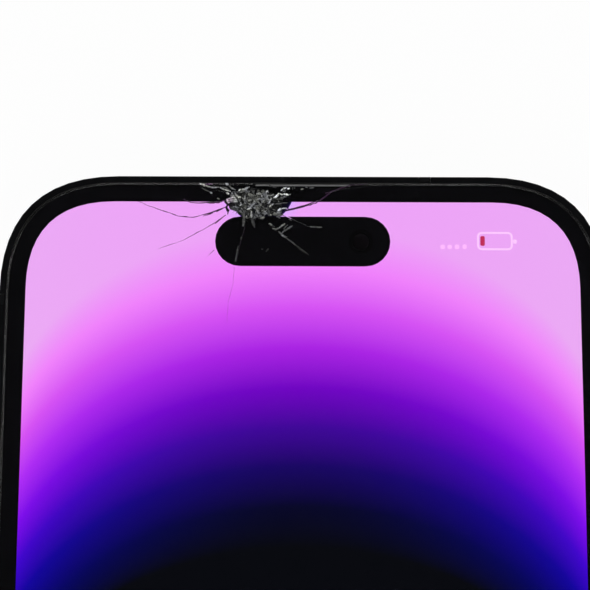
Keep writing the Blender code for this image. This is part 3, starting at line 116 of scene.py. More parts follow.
# The splinters that stand out in the photograph: a tone, a width in pixels and the pixels that each joins
SPLINTERS = {
    "upper left": (
        (0.74, 1.8, ((199.2, 183.4), (201.5, 184.4), (205.8, 186.1))),
        (0.6, 1.5, ((204.5, 185.6), (209, 187), (213.2, 187.8), (219, 187.4))),
        (0.7, 1.8, ((219.9, 187.3), (223.8, 189.4), (226.5, 190.3), (230.7, 191.5))),
        (0.34, 0.9, ((201.6, 188.2), (206, 190.4), (210.2, 192.2))),
        (0.62, 1.7, ((209.8, 192), (212.4, 193.4))),
        (0.68, 2.4, ((225.4, 183.3), (228.6, 185.3))),
        (0.46, 1.6, ((229.2, 186), (231, 188), (233.4, 189.1), (235.8, 190.2))),
        (0.34, 1.2, ((222, 187.3), (226, 188.2), (229.6, 190.4))),
        (0.78, 2.1, ((226.1, 193.1), (229.3, 194.2))),
        (0.5, 1.5, ((217.2, 198.5), (219.9, 199.5))),
    ),
    "left": (
        (0.44, 2.2, ((232, 192.3), (232.2, 195), (231.1, 197.8))),
        (0.5, 1.7, ((234.9, 192.9), (235.8, 195.3), (238.4, 197.6))),
        (0.72, 2.0, ((237.4, 197.2), (240.8, 197.3))),
        (0.6, 3.0, ((228.4, 201.6), (231.6, 200.2), (235.4, 199.8))),
        (0.5, 2.2, ((230.6, 195.2), (234.8, 196.6))),
        (0.78, 2.4, ((226.5, 199.6), (228, 201.6), (229.1, 203.3))),
        (0.74, 1.7, ((226.6, 199.2), (230.2, 198.8), (232.2, 197.4), (234.6, 197.8), (237.2, 201.4))),
        (0.7, 1.9, ((230.9, 201.9), (234, 201.7), (237.6, 201.9))),
        (0.42, 1.4, ((238.8, 198.8), (239.2, 201.8))),
        (0.78, 2.8, ((240.2, 203), (241.6, 203.6))),
        (0.66, 1.6, ((241.8, 204.6), (239.6, 206.2))),
    ),
    "upper middle": (
        (0.78, 2.0, ((238.8, 191.2), (240.5, 189.2))),
        (0.58, 1.9, ((241, 190), (245.5, 189.4), (248.4, 187.7), (249.8, 187))),
        (0.44, 1.6, ((240.8, 192.9), (243, 191.6), (246, 190.8))),
        (0.36, 1.5, ((246.6, 191.2), (248, 192.6), (249.8, 194))),
        (0.5, 2.4, ((256.4, 194.4), (259, 194.2), (261, 193.4))),
        (0.58, 1.7, ((261, 193.2), (261.6, 195), (261.9, 197.4))),
        (0.48, 2.0, ((254, 200.6), (256.6, 200.2), (258.9, 199.2), (260.4, 198.4))),
    ),
    "middle": (
        (0.5, 1.8, ((245.2, 195), (245, 198), (244.3, 200.6))),
        (0.5, 1.5, ((242.5, 197.6), (244.4, 200.8), (245.5, 204.2))),
        (0.5, 2.8, ((247.8, 200.5), (251.6, 200.6))),
        (0.52, 2.0, ((253.2, 199.4), (255.2, 202.3), (251.9, 205.5), (249.4, 208))),
        (0.68, 1.9, ((247, 209.8), (251.6, 208.3))),
        (0.56, 2.1, ((251.6, 211.1), (251.5, 214.6), (251.7, 217.9))),
        (0.3, 1.5, ((251.9, 218.6), (252.6, 221.2))),
        (0.5, 2.0, ((256.3, 208), (256.9, 210.5), (259.6, 214))),
        (0.5, 1.9, ((259.8, 203.2), (260.4, 204.6), (261.3, 206.6))),
        (0.52, 1.5, ((263, 202.2), (263.6, 203.4))),
        (0.38, 1.6, ((265.7, 208.2), (268.9, 209.6))),
        (0.44, 1.9, ((258.9, 212.9), (258.2, 211), (257.8, 209.3))),
        (0.46, 1.7, ((262.2, 210.4), (264, 211.4))),
        (0.46, 2.6, ((260.1, 218.8), (262, 218.2), (264.5, 217))),
        (0.4, 1.5, ((264.2, 216), (264.5, 214.3))),
    ),
    "upper right": (
        (0.78, 2.3, ((265.8, 192.7), (267, 191.4), (267.8, 190.8))),
        (0.5, 1.5, ((267.9, 191.2), (268.4, 193))),
        (0.52, 1.7, ((267, 195), (267.2, 199), (268.9, 200.2), (270.6, 200))),
        (0.46, 1.6, ((268.4, 195.9), (271.8, 195.7), (274.2, 194.4))),
        (0.9, 2.0, ((273.6, 198.2), (276.5, 196.6), (277.8, 195.4), (278.8, 193.4))),
        (0.76, 1.7, ((278.4, 193.4), (281.2, 194.7), (283.6, 194.6))),
        (0.92, 1.9, ((283.4, 194.5), (285.4, 194.4), (288.6, 195.3))),
        (0.66, 1.3, ((288.4, 195.2), (290.8, 194.3))),
        (0.38, 1.6, ((280.1, 197.6), (283, 197.4), (286.6, 196.8))),
        (0.3, 1.3, ((276.5, 199.4), (281.2, 199), (284, 198))),
        (0.88, 2.0, ((280.8, 191), (282.4, 189.6), (284.2, 188.6), (286.8, 187.7))),
        (1.0, 2.3, ((287.2, 189.1), (289.7, 188.3))),
        (0.46, 1.4, ((283, 191.7), (285.8, 191))),
        (0.28, 1.6, ((269.8, 185), (270.1, 187.2))),
        (0.24, 1.8, ((272.4, 187.2), (276.5, 187.1))),
        (0.24, 1.1, ((292.1, 186), (292.7, 189.7))),
        (0.28, 1.2, ((294.7, 186.5), (294.7, 189))),
        (0.52, 1.6, ((300.6, 189.5), (303.6, 189))),
        (0.48, 1.5, ((305.4, 187.2), (307.8, 187.9))),
        (0.32, 1.3, ((309.4, 188.2), (314.2, 187.7))),
    ),
    "right": (
        (0.66, 1.7, ((271.8, 198.2), (270.1, 200.6), (268.6, 204.2))),
        (0.66, 1.8, ((269.2, 207.2), (271.2, 205.3), (273.6, 204.1))),
        (0.3, 1.2, ((273.8, 204.1), (278.3, 204.2), (282.4, 203.2), (287.6, 202.9))),
        (0.3, 1.0, ((278.6, 200.5), (278.9, 204.4))),
        (0.84, 2.4, ((277.5, 211.3), (279.2, 210), (281.2, 209.2))),
        (0.82, 1.1, ((281.4, 209.1), (284.2, 208.5), (286.6, 208.2))),
        (0.42, 1.9, ((273.4, 211.8), (276, 213.7))),
        (0.4, 3.2, ((273.2, 214.6), (277, 213.6), (281.6, 212))),
        (0.34, 2.4, ((276.4, 217), (279.6, 215.6), (283.2, 214.9))),
        (0.54, 2.0, ((270.1, 215.6), (271.8, 214.6))),
        (0.34, 1.6, ((276.5, 216), (280.4, 218.4))),
        (0.3, 1.6, ((272.6, 214.6), (276, 215.4), (279, 214))),
    ),
    "on the island": (
        (0.27, 2.9, ((243.7, 210.5), (243.9, 216), (243.6, 222), (243.2, 226.4))),
        (0.2, 2.6, ((251.8, 218), (253, 223), (254.6, 227.4))),
        (0.26, 1.4, ((238.2, 246), (236.9, 254), (235.4, 261.8))),
        (0.2, 1.8, ((241.8, 237), (241.2, 239.4))),
        (0.24, 1.8, ((261.4, 249.2), (263, 249.8))),
        (0.18, 1.6, ((266, 252), (268.4, 248.6))),
        (0.5, 2.2, ((269.4, 223.6), (272.2, 225.7))),
        (0.4, 1.9, ((272.3, 228.5), (276, 229.7), (279.2, 228.2))),
        (0.48, 1.9, ((279.2, 228.2), (282, 226), (285, 223.9))),
        (0.3, 1.4, ((283.8, 228.6), (288, 225))),
        (0.34, 1.7, ((281.9, 233), (285.7, 230.4), (292.6, 225.8))),
        (0.32, 1.4, ((283.7, 228.8), (285.6, 230.4))),
        (0.4, 1.9, ((278.5, 231.5), (281.9, 235), (286.5, 238.4))),
        (0.26, 1.6, ((286.5, 238.4), (291.9, 242.2), (295.7, 245.3))),
        (0.16, 2.0, ((295.7, 245.3), (302.2, 250.7), (307.9, 254.5))),
        (0.28, 1.8, ((288.8, 219.3), (291.5, 220.8))),
        (0.32, 1.5, ((309.6, 226.8), (315, 227.1), (322, 227.5))),
    ),
}
SPLINTER_STEP = 1.3
SPLINTER_WANDER = 0.2
SPLINTER_LIFT = (0.1, 0.16)
SPLINTER_WIDTHS = (0.75, 1.35)
SPLINTER_TONES = (0.85, 1.25)
SPLINTER_THICKNESS = 0.2
# Painted shade and highlight on each splinter: shares of its tone for the left side, the ridge and the right
# side, one side darker as if in shade
SPLINTER_PAINTED_SHADE = ((0.9, 1.08, 0.62), (0.62, 1.08, 0.9))
TONE_POWER = 2.2

# Dark marks in the picture: a tone, a width in pixels and the pixels that each joins
DARK_MARKS = {
    "fork": (
        (0.1, 2.9, ((224.6, 201.2), (226.8, 203.2), (228.4, 204.8))),
        (0.1, 2.4, ((227.9, 204.4), (226.3, 207.2), (227.3, 209.6), (228.8, 211.6))),
        (0.12, 1.2, ((228.4, 211), (227.7, 214.6))),
        (0.1, 1.9, ((227.8, 204.9), (230.8, 205), (235.8, 203.9))),
    ),
    "left": (
        (0.3, 1.2, ((216.4, 211.6), (220.2, 209.8), (224.6, 207.6))),
        (0.36, 0.8, ((203, 216.2), (208.6, 214.6), (213, 212.9))),
        (0.36, 0.8, ((215.2, 223.6), (219, 220.4), (223.6, 216.4))),
        (0.34, 1.0, ((205, 202.6), (212, 203.1), (219, 202.8), (224.6, 200.4))),
    ),
    "right": (
        (0.26, 1.5, ((291.4, 209.7), (297, 208.3), (304, 206.6))),
        (0.3, 1.3, ((304, 206.6), (311, 204.6), (317.4, 202.4))),
    ),
}
MARK_STEP = 1.6
MARK_WANDER = 0.25
MARK_WIDTHS = (0.6, 1.3)

# The antenna inserts
INSERT_EDGE = 0.093 * MM
INSERT_COLOUR = (0.006, 0.006, 0.0065)

# The crushed zone, in millimetres from the impact, with its flakes, chips and crumbs
CRUSH_CENTRE = (-0.5, -0.1)
CRUSH_HALF_LENGTH = 3.0
CRUSH_HALF_HEIGHT = 1.95
CRUSH_CROWDING = 0.6
CRUSH_CORNERS = 22
CRUSH_RAGGEDNESS = (0.78, 1.08)
FLAKE_THICKNESS = 0.04
FLAKE_RIM = 0.05
FLAKE_SMALLEST = 0.003
FLAKE_TONES = (0.03, 0.06, 0.12, 0.2, 0.28, 0.36, 0.46)
# Painted highlight: how much paler than its flake each broken rim is
FLAKE_RIM_PAINTED_HIGHLIGHT = (0.04, 0.26)
FLAKE_TILT = 0.12
FLAKE_LIFT = 0.035
FLAKES_LOST = 0.25
CHIP_LENGTH = (0.2, 0.6)
CHIP_WIDTH = (0.06, 0.16)
CHIP_TONE = (0.18, 0.66)
CHIP_TURN = 0.6
CHIP_LIFT = (0.01, 0.05)
CHIP_RISE = 0.03 * MM
DUST_SIZE = (0.015, 0.045)
DUST_TONE = (0.2, 0.6)
DUST_WIDTH = (0.5, 1)
DUST_HEIGHT = 0.6
DUST_NEAREST = 0.5
DUST_THINNING = 1.6
DUST_SPREAD = 1.35

# The gaps that stay black in the crushed zone: opposite corners as pixels of the photograph
BLACK_GAPS = (
    ((229.5, 182.5), (239.5, 189)), ((249.5, 183), (283, 191.2)), ((273.5, 199.6), (289, 208.6)),
    ((282, 209), (288, 213.5)), ((237.6, 193.4), (240, 195.6)), ((264.6, 200), (266.6, 206.6)),
    ((230.5, 202.9), (236.2, 205.2)), ((253.4, 206.4), (255, 211)),
)

# Where the crushed glass lies over the lit picture, the picture's pink glow is painted into the glass's
# colour
PAINTED_GLOW_PIXEL = (228, 201.5)
PAINTED_GLOW_REACH = 0.9 * MM

# How far things stand off the glass and the lit panel
ON_GLASS = 0.012 * MM
ON_PANEL = 0.015 * MM
SIGN_THICKNESS = 0.012 * MM
GLASS_INDEX = 1.5

# The dead patch of the picture under the blow, from the impact
DEAD_PATCH_OFFSET = (0.44 * MM, 1.53 * MM)
DEAD_PATCH_RADIUS = 3.95 * MM
DEAD_PATCH_HAZE = 5.3 * MM
DEAD_PATCH_WAVER = 0.15 * MM
DEAD_PATCH_COLOURS = (
    (0.86, (10, 9, 18)), (0.95, (12, 9, 34)), (0.985, (36, 20, 90)), (1.0, (205, 175, 255)),
)
DEAD_PATCH_FADE = ((0.98, 0.0), (1.005, 0.5))

# The picture: its bands of colour arch over a centre, and their depth is measured down from the picture's top
ARCH_CENTRE_X = -0.05 * MM
ARCH_HALF_WIDTH = 35.4 * MM
ARCH_HEIGHT = 25.6 * MM
BANDS = ("pale", "orchid", "magenta", "purple", "violet", "indigo", "navy", "midnight", "night")
BAND_DEPTHS = (3.0, 7.9, 12.7, 17.4, 22.1, 26.7, 31.2, 35.8, 40.4)

# The signs in the picture's top right corner: pixels of their left lower and right upper corners
BATTERY_SIGN = ((477.2, 250.1), (512.7, 231.9))
BATTERY_KNOB = ((513.2, 243.6), (516.8, 239.4))
CHARGE_SIGN = ((480.4, 245.8), (484.8, 236))
DOTS = (
    ((440.4, 249.1), (445.1, 244.5)), ((447.6, 249), (452, 244.6)), ((454.8, 249.1), (459.4, 244.4)),
    ((462.6, 249.1), (466.8, 244.3)),
)
BATTERY_LINE = 0.24 * MM
BATTERY_CORNER = 0.58 * MM
KNOB_CORNER = 0.15 * MM
CHARGE_CORNER = 0.2 * MM
DOT_CORNER = 0.23 * MM
SIGN_GLOW = 1.15

# The woven screens behind the sound holes, each centred to one side of the port
SCREEN_X = 15.4 * MM
SCREEN_WIDTH = 12.0 * MM
SCREEN_HEIGHT = 1.9 * MM
SCREEN_DEPTH = 2.38 * MM
WIRE_SHARE = 0.22
WIRE_THICKNESS = 0.04 * MM

# The port's contacts: how far apart, how far in and how far off the middle they lie
CONTACTS = 12
CONTACT_PITCH = 0.5 * MM
CONTACT_SETBACK = 1.5 * MM
CONTACT_HEIGHT = 0.362 * MM
CONTACT_WIDTH = 0.25 * MM
CONTACT_THICKNESS = 0.03 * MM
CONTACT_EDGE = 0.008 * MM
LONG_CONTACTS = (0, 3, 8, 11)
LONG_CONTACT = 2.4 * MM
SHORT_CONTACT = 1.9 * MM

# The rear cameras behind their covers, in millimetres: radii, and heights above the cover's inner face
ELEMENT_TINTS = {
    "main": (0.03, 0.02, 0.09), "ultrawide": (0.015, 0.05, 0.05), "telephoto": (0.06, 0.015, 0.06),
}
ELEMENT_RADIUS = 2.45
ELEMENT_FOOT = 0.62
ELEMENT_CROWN = 0.42
ELEMENT_EDGE = 0.1
ELEMENT_RIM = ((2.75, 0.55), (2.75, 0.3), (2.6, 0.24), (2.5, 0.3), (2.5, 0.55))
BAFFLE_STEPS = 4
BAFFLE_FRONT = 0.08
BAFFLE_BACK = 0.3
BAFFLE_OUTER = 4.8
BAFFLE_FIRST = 4.6
BAFFLE_STEP = 0.36
BAFFLE_RISE = 0.05
BAFFLE_CHAMFER = 0.1
BAFFLE_INNER = 3.3

# The flash's two light chips
FLASH_CHIP_SIZE = (1.1 * MM, 1.7 * MM, 0.06 * MM)
FLASH_CHIP_SHIFT = 0.75 * MM
FLASH_CHIP_EDGE = 0.02 * MM

# The front camera's lens, in millimetres above the top of its housing
FRONT_LENS_X = 6.9 * MM
FRONT_RIM = ((1.42, 0.01), (1.42, 0.07), (1.1, 0.09), (1.0, 0.01))
FRONT_LENS_STEPS = 6
FRONT_LENS_RADIUS = 0.96
FRONT_LENS_FOOT = 0.01
FRONT_LENS_SHOULDER = 0.02
FRONT_LENS_CROWN = 0.14

# The stage: what the phone rests on, the world that mirrors see by height, and the lamps, in metres
HULL_REACH = 0.5 * MM
HULL_LEVEL = 0.9
FLOOR_RADIUS = 0.75
FLOOR_CORNERS = 96
FLOOR_GRAIN = 40
FLOOR_TONES = (0.93, 0.97)
MIRRORED_WORLD = ((0.62, 0.42), (0.93, 0.02))
LAMP_TARGET = (0, 0.03, 0)
LAMP_REACH = 0.36
LAMP_HEIGHT = 0.34
NEAREST_SEEN = 5 * MM
FURTHEST_SEEN = 5.0


def shade(red, green, blue):
    """A colour as a screen shows it, 0 to 255, as the linear values that nodes take."""
    return tuple(
        part / 255 / 12.92 if part / 255 <= 0.04045 else ((part / 255 + 0.055) / 1.055) ** 2.4
        for part in (red, green, blue)
    )


def colour_setting(name, description, default):
    return FloatVectorProperty(
        name=name, description=description, subtype="COLOR", size=3, min=0.0, max=1.0, default=default
    )


def band_colour(name, red, green, blue):
    return colour_setting(name, f"{name}, a band of the picture", shade(red, green, blue))


class PhonePicture(PropertyGroup):
    """The picture on the lit panel: nine bands along its middle, and six others at its sides."""

    pale: band_colour("Pale pink", 239, 163, 248)
    orchid: band_colour("Orchid", 241, 130, 252)
    magenta: band_colour("Magenta", 214, 82, 244)
    purple: band_colour("Purple", 170, 34, 228)
    violet: band_colour("Violet", 112, 1, 195)
    indigo: band_colour("Indigo", 63, 2, 152)
    navy: band_colour("Navy", 23, 2, 98)
    midnight: band_colour("Midnight", 3, 3, 38)
    night: band_colour("Night", 3, 4, 9)
    side_pale: band_colour("Pale pink at the sides", 236, 171, 245)
    side_purple: band_colour("Purple at the sides", 176, 46, 248)
    side_violet: band_colour("Violet at the sides", 127, 12, 240)
    side_indigo: band_colour("Indigo at the sides", 65, 1, 213)
    side_navy: band_colour("Navy at the sides", 14, 0, 171)
    side_midnight: band_colour("Midnight at the sides", 1, 0, 120)
    strength: FloatProperty(
        name="Strength", description="How strongly the picture glows", default=1.085, min=0.0, max=5.0
    )


class PhoneLook(PropertyGroup):
    """Sizes, counts and colours of the finishes and of the loose glass."""

    metal: colour_setting("Metal", "Colour of the band and the buttons", (0.018, 0.018, 0.02))
    ink: colour_setting("Ink", "Colour of the border print", (0.0048, 0.0045, 0.0062))
    back: colour_setting("Back", "Colour of the rear glass", (0.02, 0.02, 0.022))
    splinter_tint: colour_setting("Splinter tint", "Tint of the crushed glass", (0.95, 1.0, 0.94))
    # Painted glow: the lit picture's light, painted into the colour of the crushed glass over it
    picture_glow_tint: colour_setting("Pink tint", "Tint of the crushed glass over the lit picture", (1.0, 0.78, 1.0))
    # Painted glow: the lit picture's purple light, painted into the colour of every crack
    crack_glow_tint: colour_setting("Crack tint", "Tint of the cracks over the lit picture", (0.8, 0.25, 0.85))
    charge_red: colour_setting("Charge", "Colour of the low charge sign", shade(200, 34, 88))
    sign_pale: colour_setting("Signs", "Colour of the pale signs", shade(250, 198, 252))
    sign_faint: colour_setting("Faint signs", "Colour of the row of dots", shade(252, 184, 252))
    chip_count: IntProperty(
        name="Chips", description="Number of small chips in the crushed zone", default=90, min=0, max=2000
    )
    split_count: IntProperty(
        name="Splits", description="Number of lines that split the crushed sheet into flakes", default=46,
        min=0, max=200,
    )
    dust_count: IntProperty(
        name="Dust", description="Number of crumbs round the crushed zone", default=140, min=0, max=3000
    )
    seal_width: FloatProperty(
        name="Seal", description="Width of the seal between the glass and the band", default=0.09 * MM,
        min=0.01 * MM, max=0.11 * MM, unit="LENGTH",
    )
    mesh_pitch: FloatProperty(
        name="Mesh pitch", description="Distance between the holes of the speaker screens",
        default=0.14 * MM, min=0.05 * MM, max=1.0 * MM, unit="LENGTH",
    )


class StudioLook(PropertyGroup):
    """The light of the stage."""

    sky: FloatProperty(
        name="Sky", description="How strongly the surroundings light the phone", default=0.5, min=0.0, max=5.0
    )
    lamp_power: FloatProperty(
        name="Lamps", description="Power of each of the four soft lamps", default=0.34, min=0.0, max=20.0,
        unit="POWER",
    )
    lamp_size: FloatProperty(
        name="Lamp size", description="Side of each lamp", default=0.3, min=0.01, max=2.0, unit="LENGTH"
    )
    floor_glow: FloatProperty(
        name="Floor glow", description="Share of the floor's white that no shadow dims", default=0.96,
        min=0.0, max=1.0,
    )


# Places that follow from the frame and from the photograph

BAND_LOW, BAND_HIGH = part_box("mid_frame")
GLASS_LOW, GLASS_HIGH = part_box("cover_glass")
PANEL_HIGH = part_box("display_panel")[1]
ISLAND_LOW, ISLAND_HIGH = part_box("island_mask")
LIT_TOP_Y = BAND_HIGH.y - LIT_INSET
CAMERA_TURN = (
    Matrix.Rotation(CAMERA_ROLL, 4, "Z") @ Matrix.Rotation(CAMERA_YAW, 4, "Y")
    @ Matrix.Rotation(CAMERA_PITCH, 4, "X")
)


def on_glass(pixel, height=GLASS_HIGH.z):
    """The point of the screen that a pixel of the photograph shows."""
    half = PHOTO_SIZE / 2
    across, down = (pixel[0] - half) / FOCAL_PIXELS, (half - pixel[1]) / FOCAL_PIXELS
    heading = CAMERA_TURN @ Vector((across, down, -1))
    start = Vector(CAMERA_PLACE)
    return start + heading * ((height - start.z) / heading.z)


IMPACT = on_glass(IMPACT_PIXEL)
SIGN_LOW = PANEL_HIGH.z + ON_PANEL
SIGN_HIGH = SIGN_LOW + SIGN_THICKNESS
PIXEL = (CAMERA_PLACE[2] - GLASS_HIGH.z) / FOCAL_PIXELS


def middle_of(name):
    low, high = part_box(name)
    return (low + high) / 2


def from_impact(point, lift=ON_GLASS):
    return Vector((IMPACT.x + point[0] * MM, IMPACT.y + point[1] * MM, GLASS_HIGH.z + lift))


# Building node materials


def scaled(colour, *shares):
    """A colour with its parts multiplied by one share, or each by its own."""
    shares = shares * 3 if len(shares) == 1 else shares
    return tuple(part * share for part, share in zip(colour, shares))


class Nodes:
    """A node tree, and the nodes that both materials and the world are made of."""

    def __init__(self, tree):
        self.tree = tree

    def node(self, kind, inputs=(), **settings):
        """A node with its settings, whose sockets take numbers, colours or other nodes' outputs."""
        made = self.tree.nodes.new(kind)
        for word, value in settings.items():
            setattr(made, word, value)
        for socket, value in dict(inputs).items():
            if isinstance(value, bpy.types.NodeSocket):
                self.tree.links.new(value, made.inputs[socket])
            else:
                made.inputs[socket].default_value = value
        return made

    def math(self, operation, first, second=0.0, clamped=False):
        return self.node(
            "ShaderNodeMath", {0: first, 1: second}, operation=operation, use_clamp=clamped
        ).outputs[0]

    def ramp(self, factor, stops):
        """A colour ramp through (position, colour); a single number stands for a grey."""
        made = self.node("ShaderNodeValToRGB", {"Fac": factor})
        ladder = made.color_ramp.elements
        while len(ladder) < len(stops):
            ladder.new(1.0)
        for rung, (position, colour) in zip(ladder, stops):
            rung.position = position
            rung.color = (colour,) * 3 + (1.0,) if isinstance(colour, (int, float)) else (*colour, 1.0)
        return made.outputs["Color"]

    def between(self, factor, low, high):
        """Maps a factor of 0 to 1 onto low to high."""
        return self.node("ShaderNodeMapRange", {
            "Value": factor, "To Min": low, "To Max": high,
        }).outputs[0]


class Finish(Nodes):
    """A node material, with patterns that are fixed to the object's own coordinates."""

    def __init__(self, name, **values):
        self.material = bpy.data.materials.new(name)
        self.material.use_nodes = True
        super().__init__(self.material.node_tree)
        self.shader = self.tree.nodes["Principled BSDF"]
        self.place = self.node("ShaderNodeTexCoord").outputs["Object"]
        for word, value in values.items():
            self.shader.inputs[word.replace("_", " ")].default_value = value

    def feed(self, socket, output):
        self.tree.links.new(output, self.shader.inputs[socket])

    def tint(self, factor, first, second, socket="Base Color"):
        """Two colours that a pattern shares out."""
        self.feed(socket, self.mix(factor, (*first, 1), (*second, 1)))

    def roughen(self, factor, low, high):
        self.feed("Roughness", self.between(factor, low, high))

    def split(self):
        parts = self.node("ShaderNodeSeparateXYZ", {0: self.place})
        return parts.outputs[0], parts.outputs[1], parts.outputs[2]

    def noise(self, size, detail=3.0, roughness=0.55, place=None):
        """Soft noise whose lumps are about the given size."""
        return self.node("ShaderNodeTexNoise", {
            "Vector": place or self.place, "Scale": 1 / size, "Detail": detail, "Roughness": roughness,
        }).outputs[0]

    def distance(self, point):
        return self.node(
            "ShaderNodeVectorMath", {0: self.place, 1: point}, operation="DISTANCE"
        ).outputs["Value"]

    def rings(self, centre, width):
        """Rings round an upright line through the centre, one light and one dark in each width."""
        shifted = self.node("ShaderNodeMapping", {0: self.place, "Location": (-centre.x, -centre.y, 0)})
        return self.node("ShaderNodeTexWave", {
            "Vector": shifted.outputs[0], "Scale": 1 / width, "Distortion": 0.0,
        }, wave_type="RINGS", rings_direction="Z").outputs["Fac"]

    def mix(self, factor, first, second, blend="MIX"):
        made = self.node(
            "ShaderNodeMix", {0: factor, 6: first, 7: second}, data_type="RGBA", blend_type=blend,
        )
        return made.outputs[2]

    def bump(self, height, distance, strength=1.0):
        made = self.node("ShaderNodeBump", {"Height": height, "Distance": distance, "Strength": strength})
        self.feed("Normal", made.outputs[0])


def metal_finish(look):
    """Polished black-coated steel, with a fine haze that varies and a few light rubs."""
    made = Finish("black_metal", Metallic=1.0)
    haze = made.noise(1.6 * MM, 4.0)
    grain = made.noise(0.05 * MM, 2.0)
    rubs = made.ramp(made.noise(3.0 * MM, 6.0, 0.7), ((0.62, 0.0), (0.74, 1.0)))
    made.tint(rubs, look.metal, scaled(look.metal, 1.9))
    made.roughen(haze, 0.24, 0.42)
    made.bump(grain, 0.0015 * MM, 0.5)
    return made.material


def glass_finish():
    """Clear cover glass with faint smudges."""
    made = Finish("clear_glass", Transmission_Weight=1.0, IOR=1.5, Base_Color=(0.985, 0.99, 0.99, 1))
    smudge = made.ramp(made.noise(9.0 * MM, 4.0, 0.6), ((0.5, 0.0), (0.8, 1.0)))
    made.roughen(smudge, 0.0, 0.012)
    return made.material


def crushed_finish(look):
    """The shards left in the crater: near black over the dead screen, each cell's tone a painted lit or
    shaded facet, with thin pale breaks painted as highlights.
    """
    made = Finish("crushed_glass", IOR=1.5, Specular_IOR_Level=0.25)
    stretched = made.node("ShaderNodeMapping", {0: made.place, "Scale": (1.0, 0.7, 1.0)}).outputs[0]
    cells = {"Vector": stretched, "Scale": 1 / (0.42 * MM)}
    # Painted light: each cell's tone stands for a small facet that catches more or less light
    tones = made.node("ShaderNodeTexVoronoi", cells, feature="F1").outputs["Color"]
    tone = made.node("ShaderNodeSeparateColor", {0: tones}).outputs[0]
    painted_facet_shade = made.ramp(tone, ((0.0, 0.002), (0.6, 0.004), (0.85, 0.012), (1.0, 0.05)))
    rims = made.node("ShaderNodeTexVoronoi", cells, feature="DISTANCE_TO_EDGE").outputs["Distance"]
    # Painted highlight: the thin breaks between the cells are pale
    edges = made.ramp(rims, ((0.0, 1.0), (0.03, 0.0)))
    made.feed("Base Color", made.mix(edges, painted_facet_shade, (*scaled(look.splinter_tint, 0.09), 1)))
    made.roughen(made.noise(0.2 * MM), 0.15, 0.5)
    made.bump(tone, 0.02 * MM, 0.6)
    return made.material


def splinter_finish(name, tint, painted_picture_glow):
    """Splinters and cracks: each carries its own tone, as strong as the light it throws back; near the lit
    picture, its glow is painted into their colour.
    """
    made = Finish(name, IOR=1.5, Specular_IOR_Level=0.35)
    tone = made.node("ShaderNodeAttribute", attribute_name="tone").outputs["Fac"]
    streaks = made.ramp(made.noise(0.17 * MM, 4.0, 0.6), ((0.36, 0.4), (0.5, 0.9), (0.64, 1.6)))
    strength = made.math("MULTIPLY", tone, streaks)
    warm, cool = scaled(tint, 1.02, 0.99, 0.95), scaled(tint, 0.96, 0.94, 1.08)
    drift = made.ramp(made.noise(0.7 * MM, 2.0), ((0.4, cool), (0.6, warm)))
    # Painted glow: towards that pixel the colour turns to the lit picture's light
    away = made.math("DIVIDE", made.distance(on_glass(PAINTED_GLOW_PIXEL)), PAINTED_GLOW_REACH)
    painted_glow_share = made.ramp(away, ((0.3, 1.0), (1.0, 0.0)))
    drift = made.mix(painted_glow_share, drift, (*painted_picture_glow, 1))
    made.feed("Base Color", made.mix(1.0, drift, strength, "MULTIPLY"))
    made.roughen(made.noise(0.15 * MM), 0.15, 0.45)
    made.bump(made.noise(0.06 * MM, 2.0), 0.008 * MM, 0.6)
    return made.material


def back_finish(look):
    """Etched rear glass, matt apart from the polished camera plateau."""
    made = Finish("etched_back_glass", IOR=1.5)
    sparkle = made.noise(0.04 * MM, 2.0)
    height = made.split()[2]
    rear_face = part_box("rear_glass")[1].z - REAR_GLASS_THICKNESS
    plateau = made.math("LESS_THAN", height, rear_face - PLATEAU_SPLIT)
    satin = made.between(made.noise(6.0 * MM, 4.0), 0.42, 0.52)
    made.feed("Roughness", made.node("ShaderNodeMix", {0: plateau, 2: satin, 3: 0.08}).outputs[0])
    made.tint(sparkle, look.back, scaled(look.back, 1.35))
    made.bump(sparkle, 0.002 * MM, 0.35)
    return made.material


def ink_finish(look):
    """Flat black print with the slightest mottle."""
    made = Finish("black_ink", Specular_IOR_Level=0.0)
    made.tint(made.noise(2.5 * MM, 3.0), look.ink, scaled(look.ink, 1.5))
    made.roughen(made.noise(0.4 * MM), 0.55, 0.7)
    return made.material


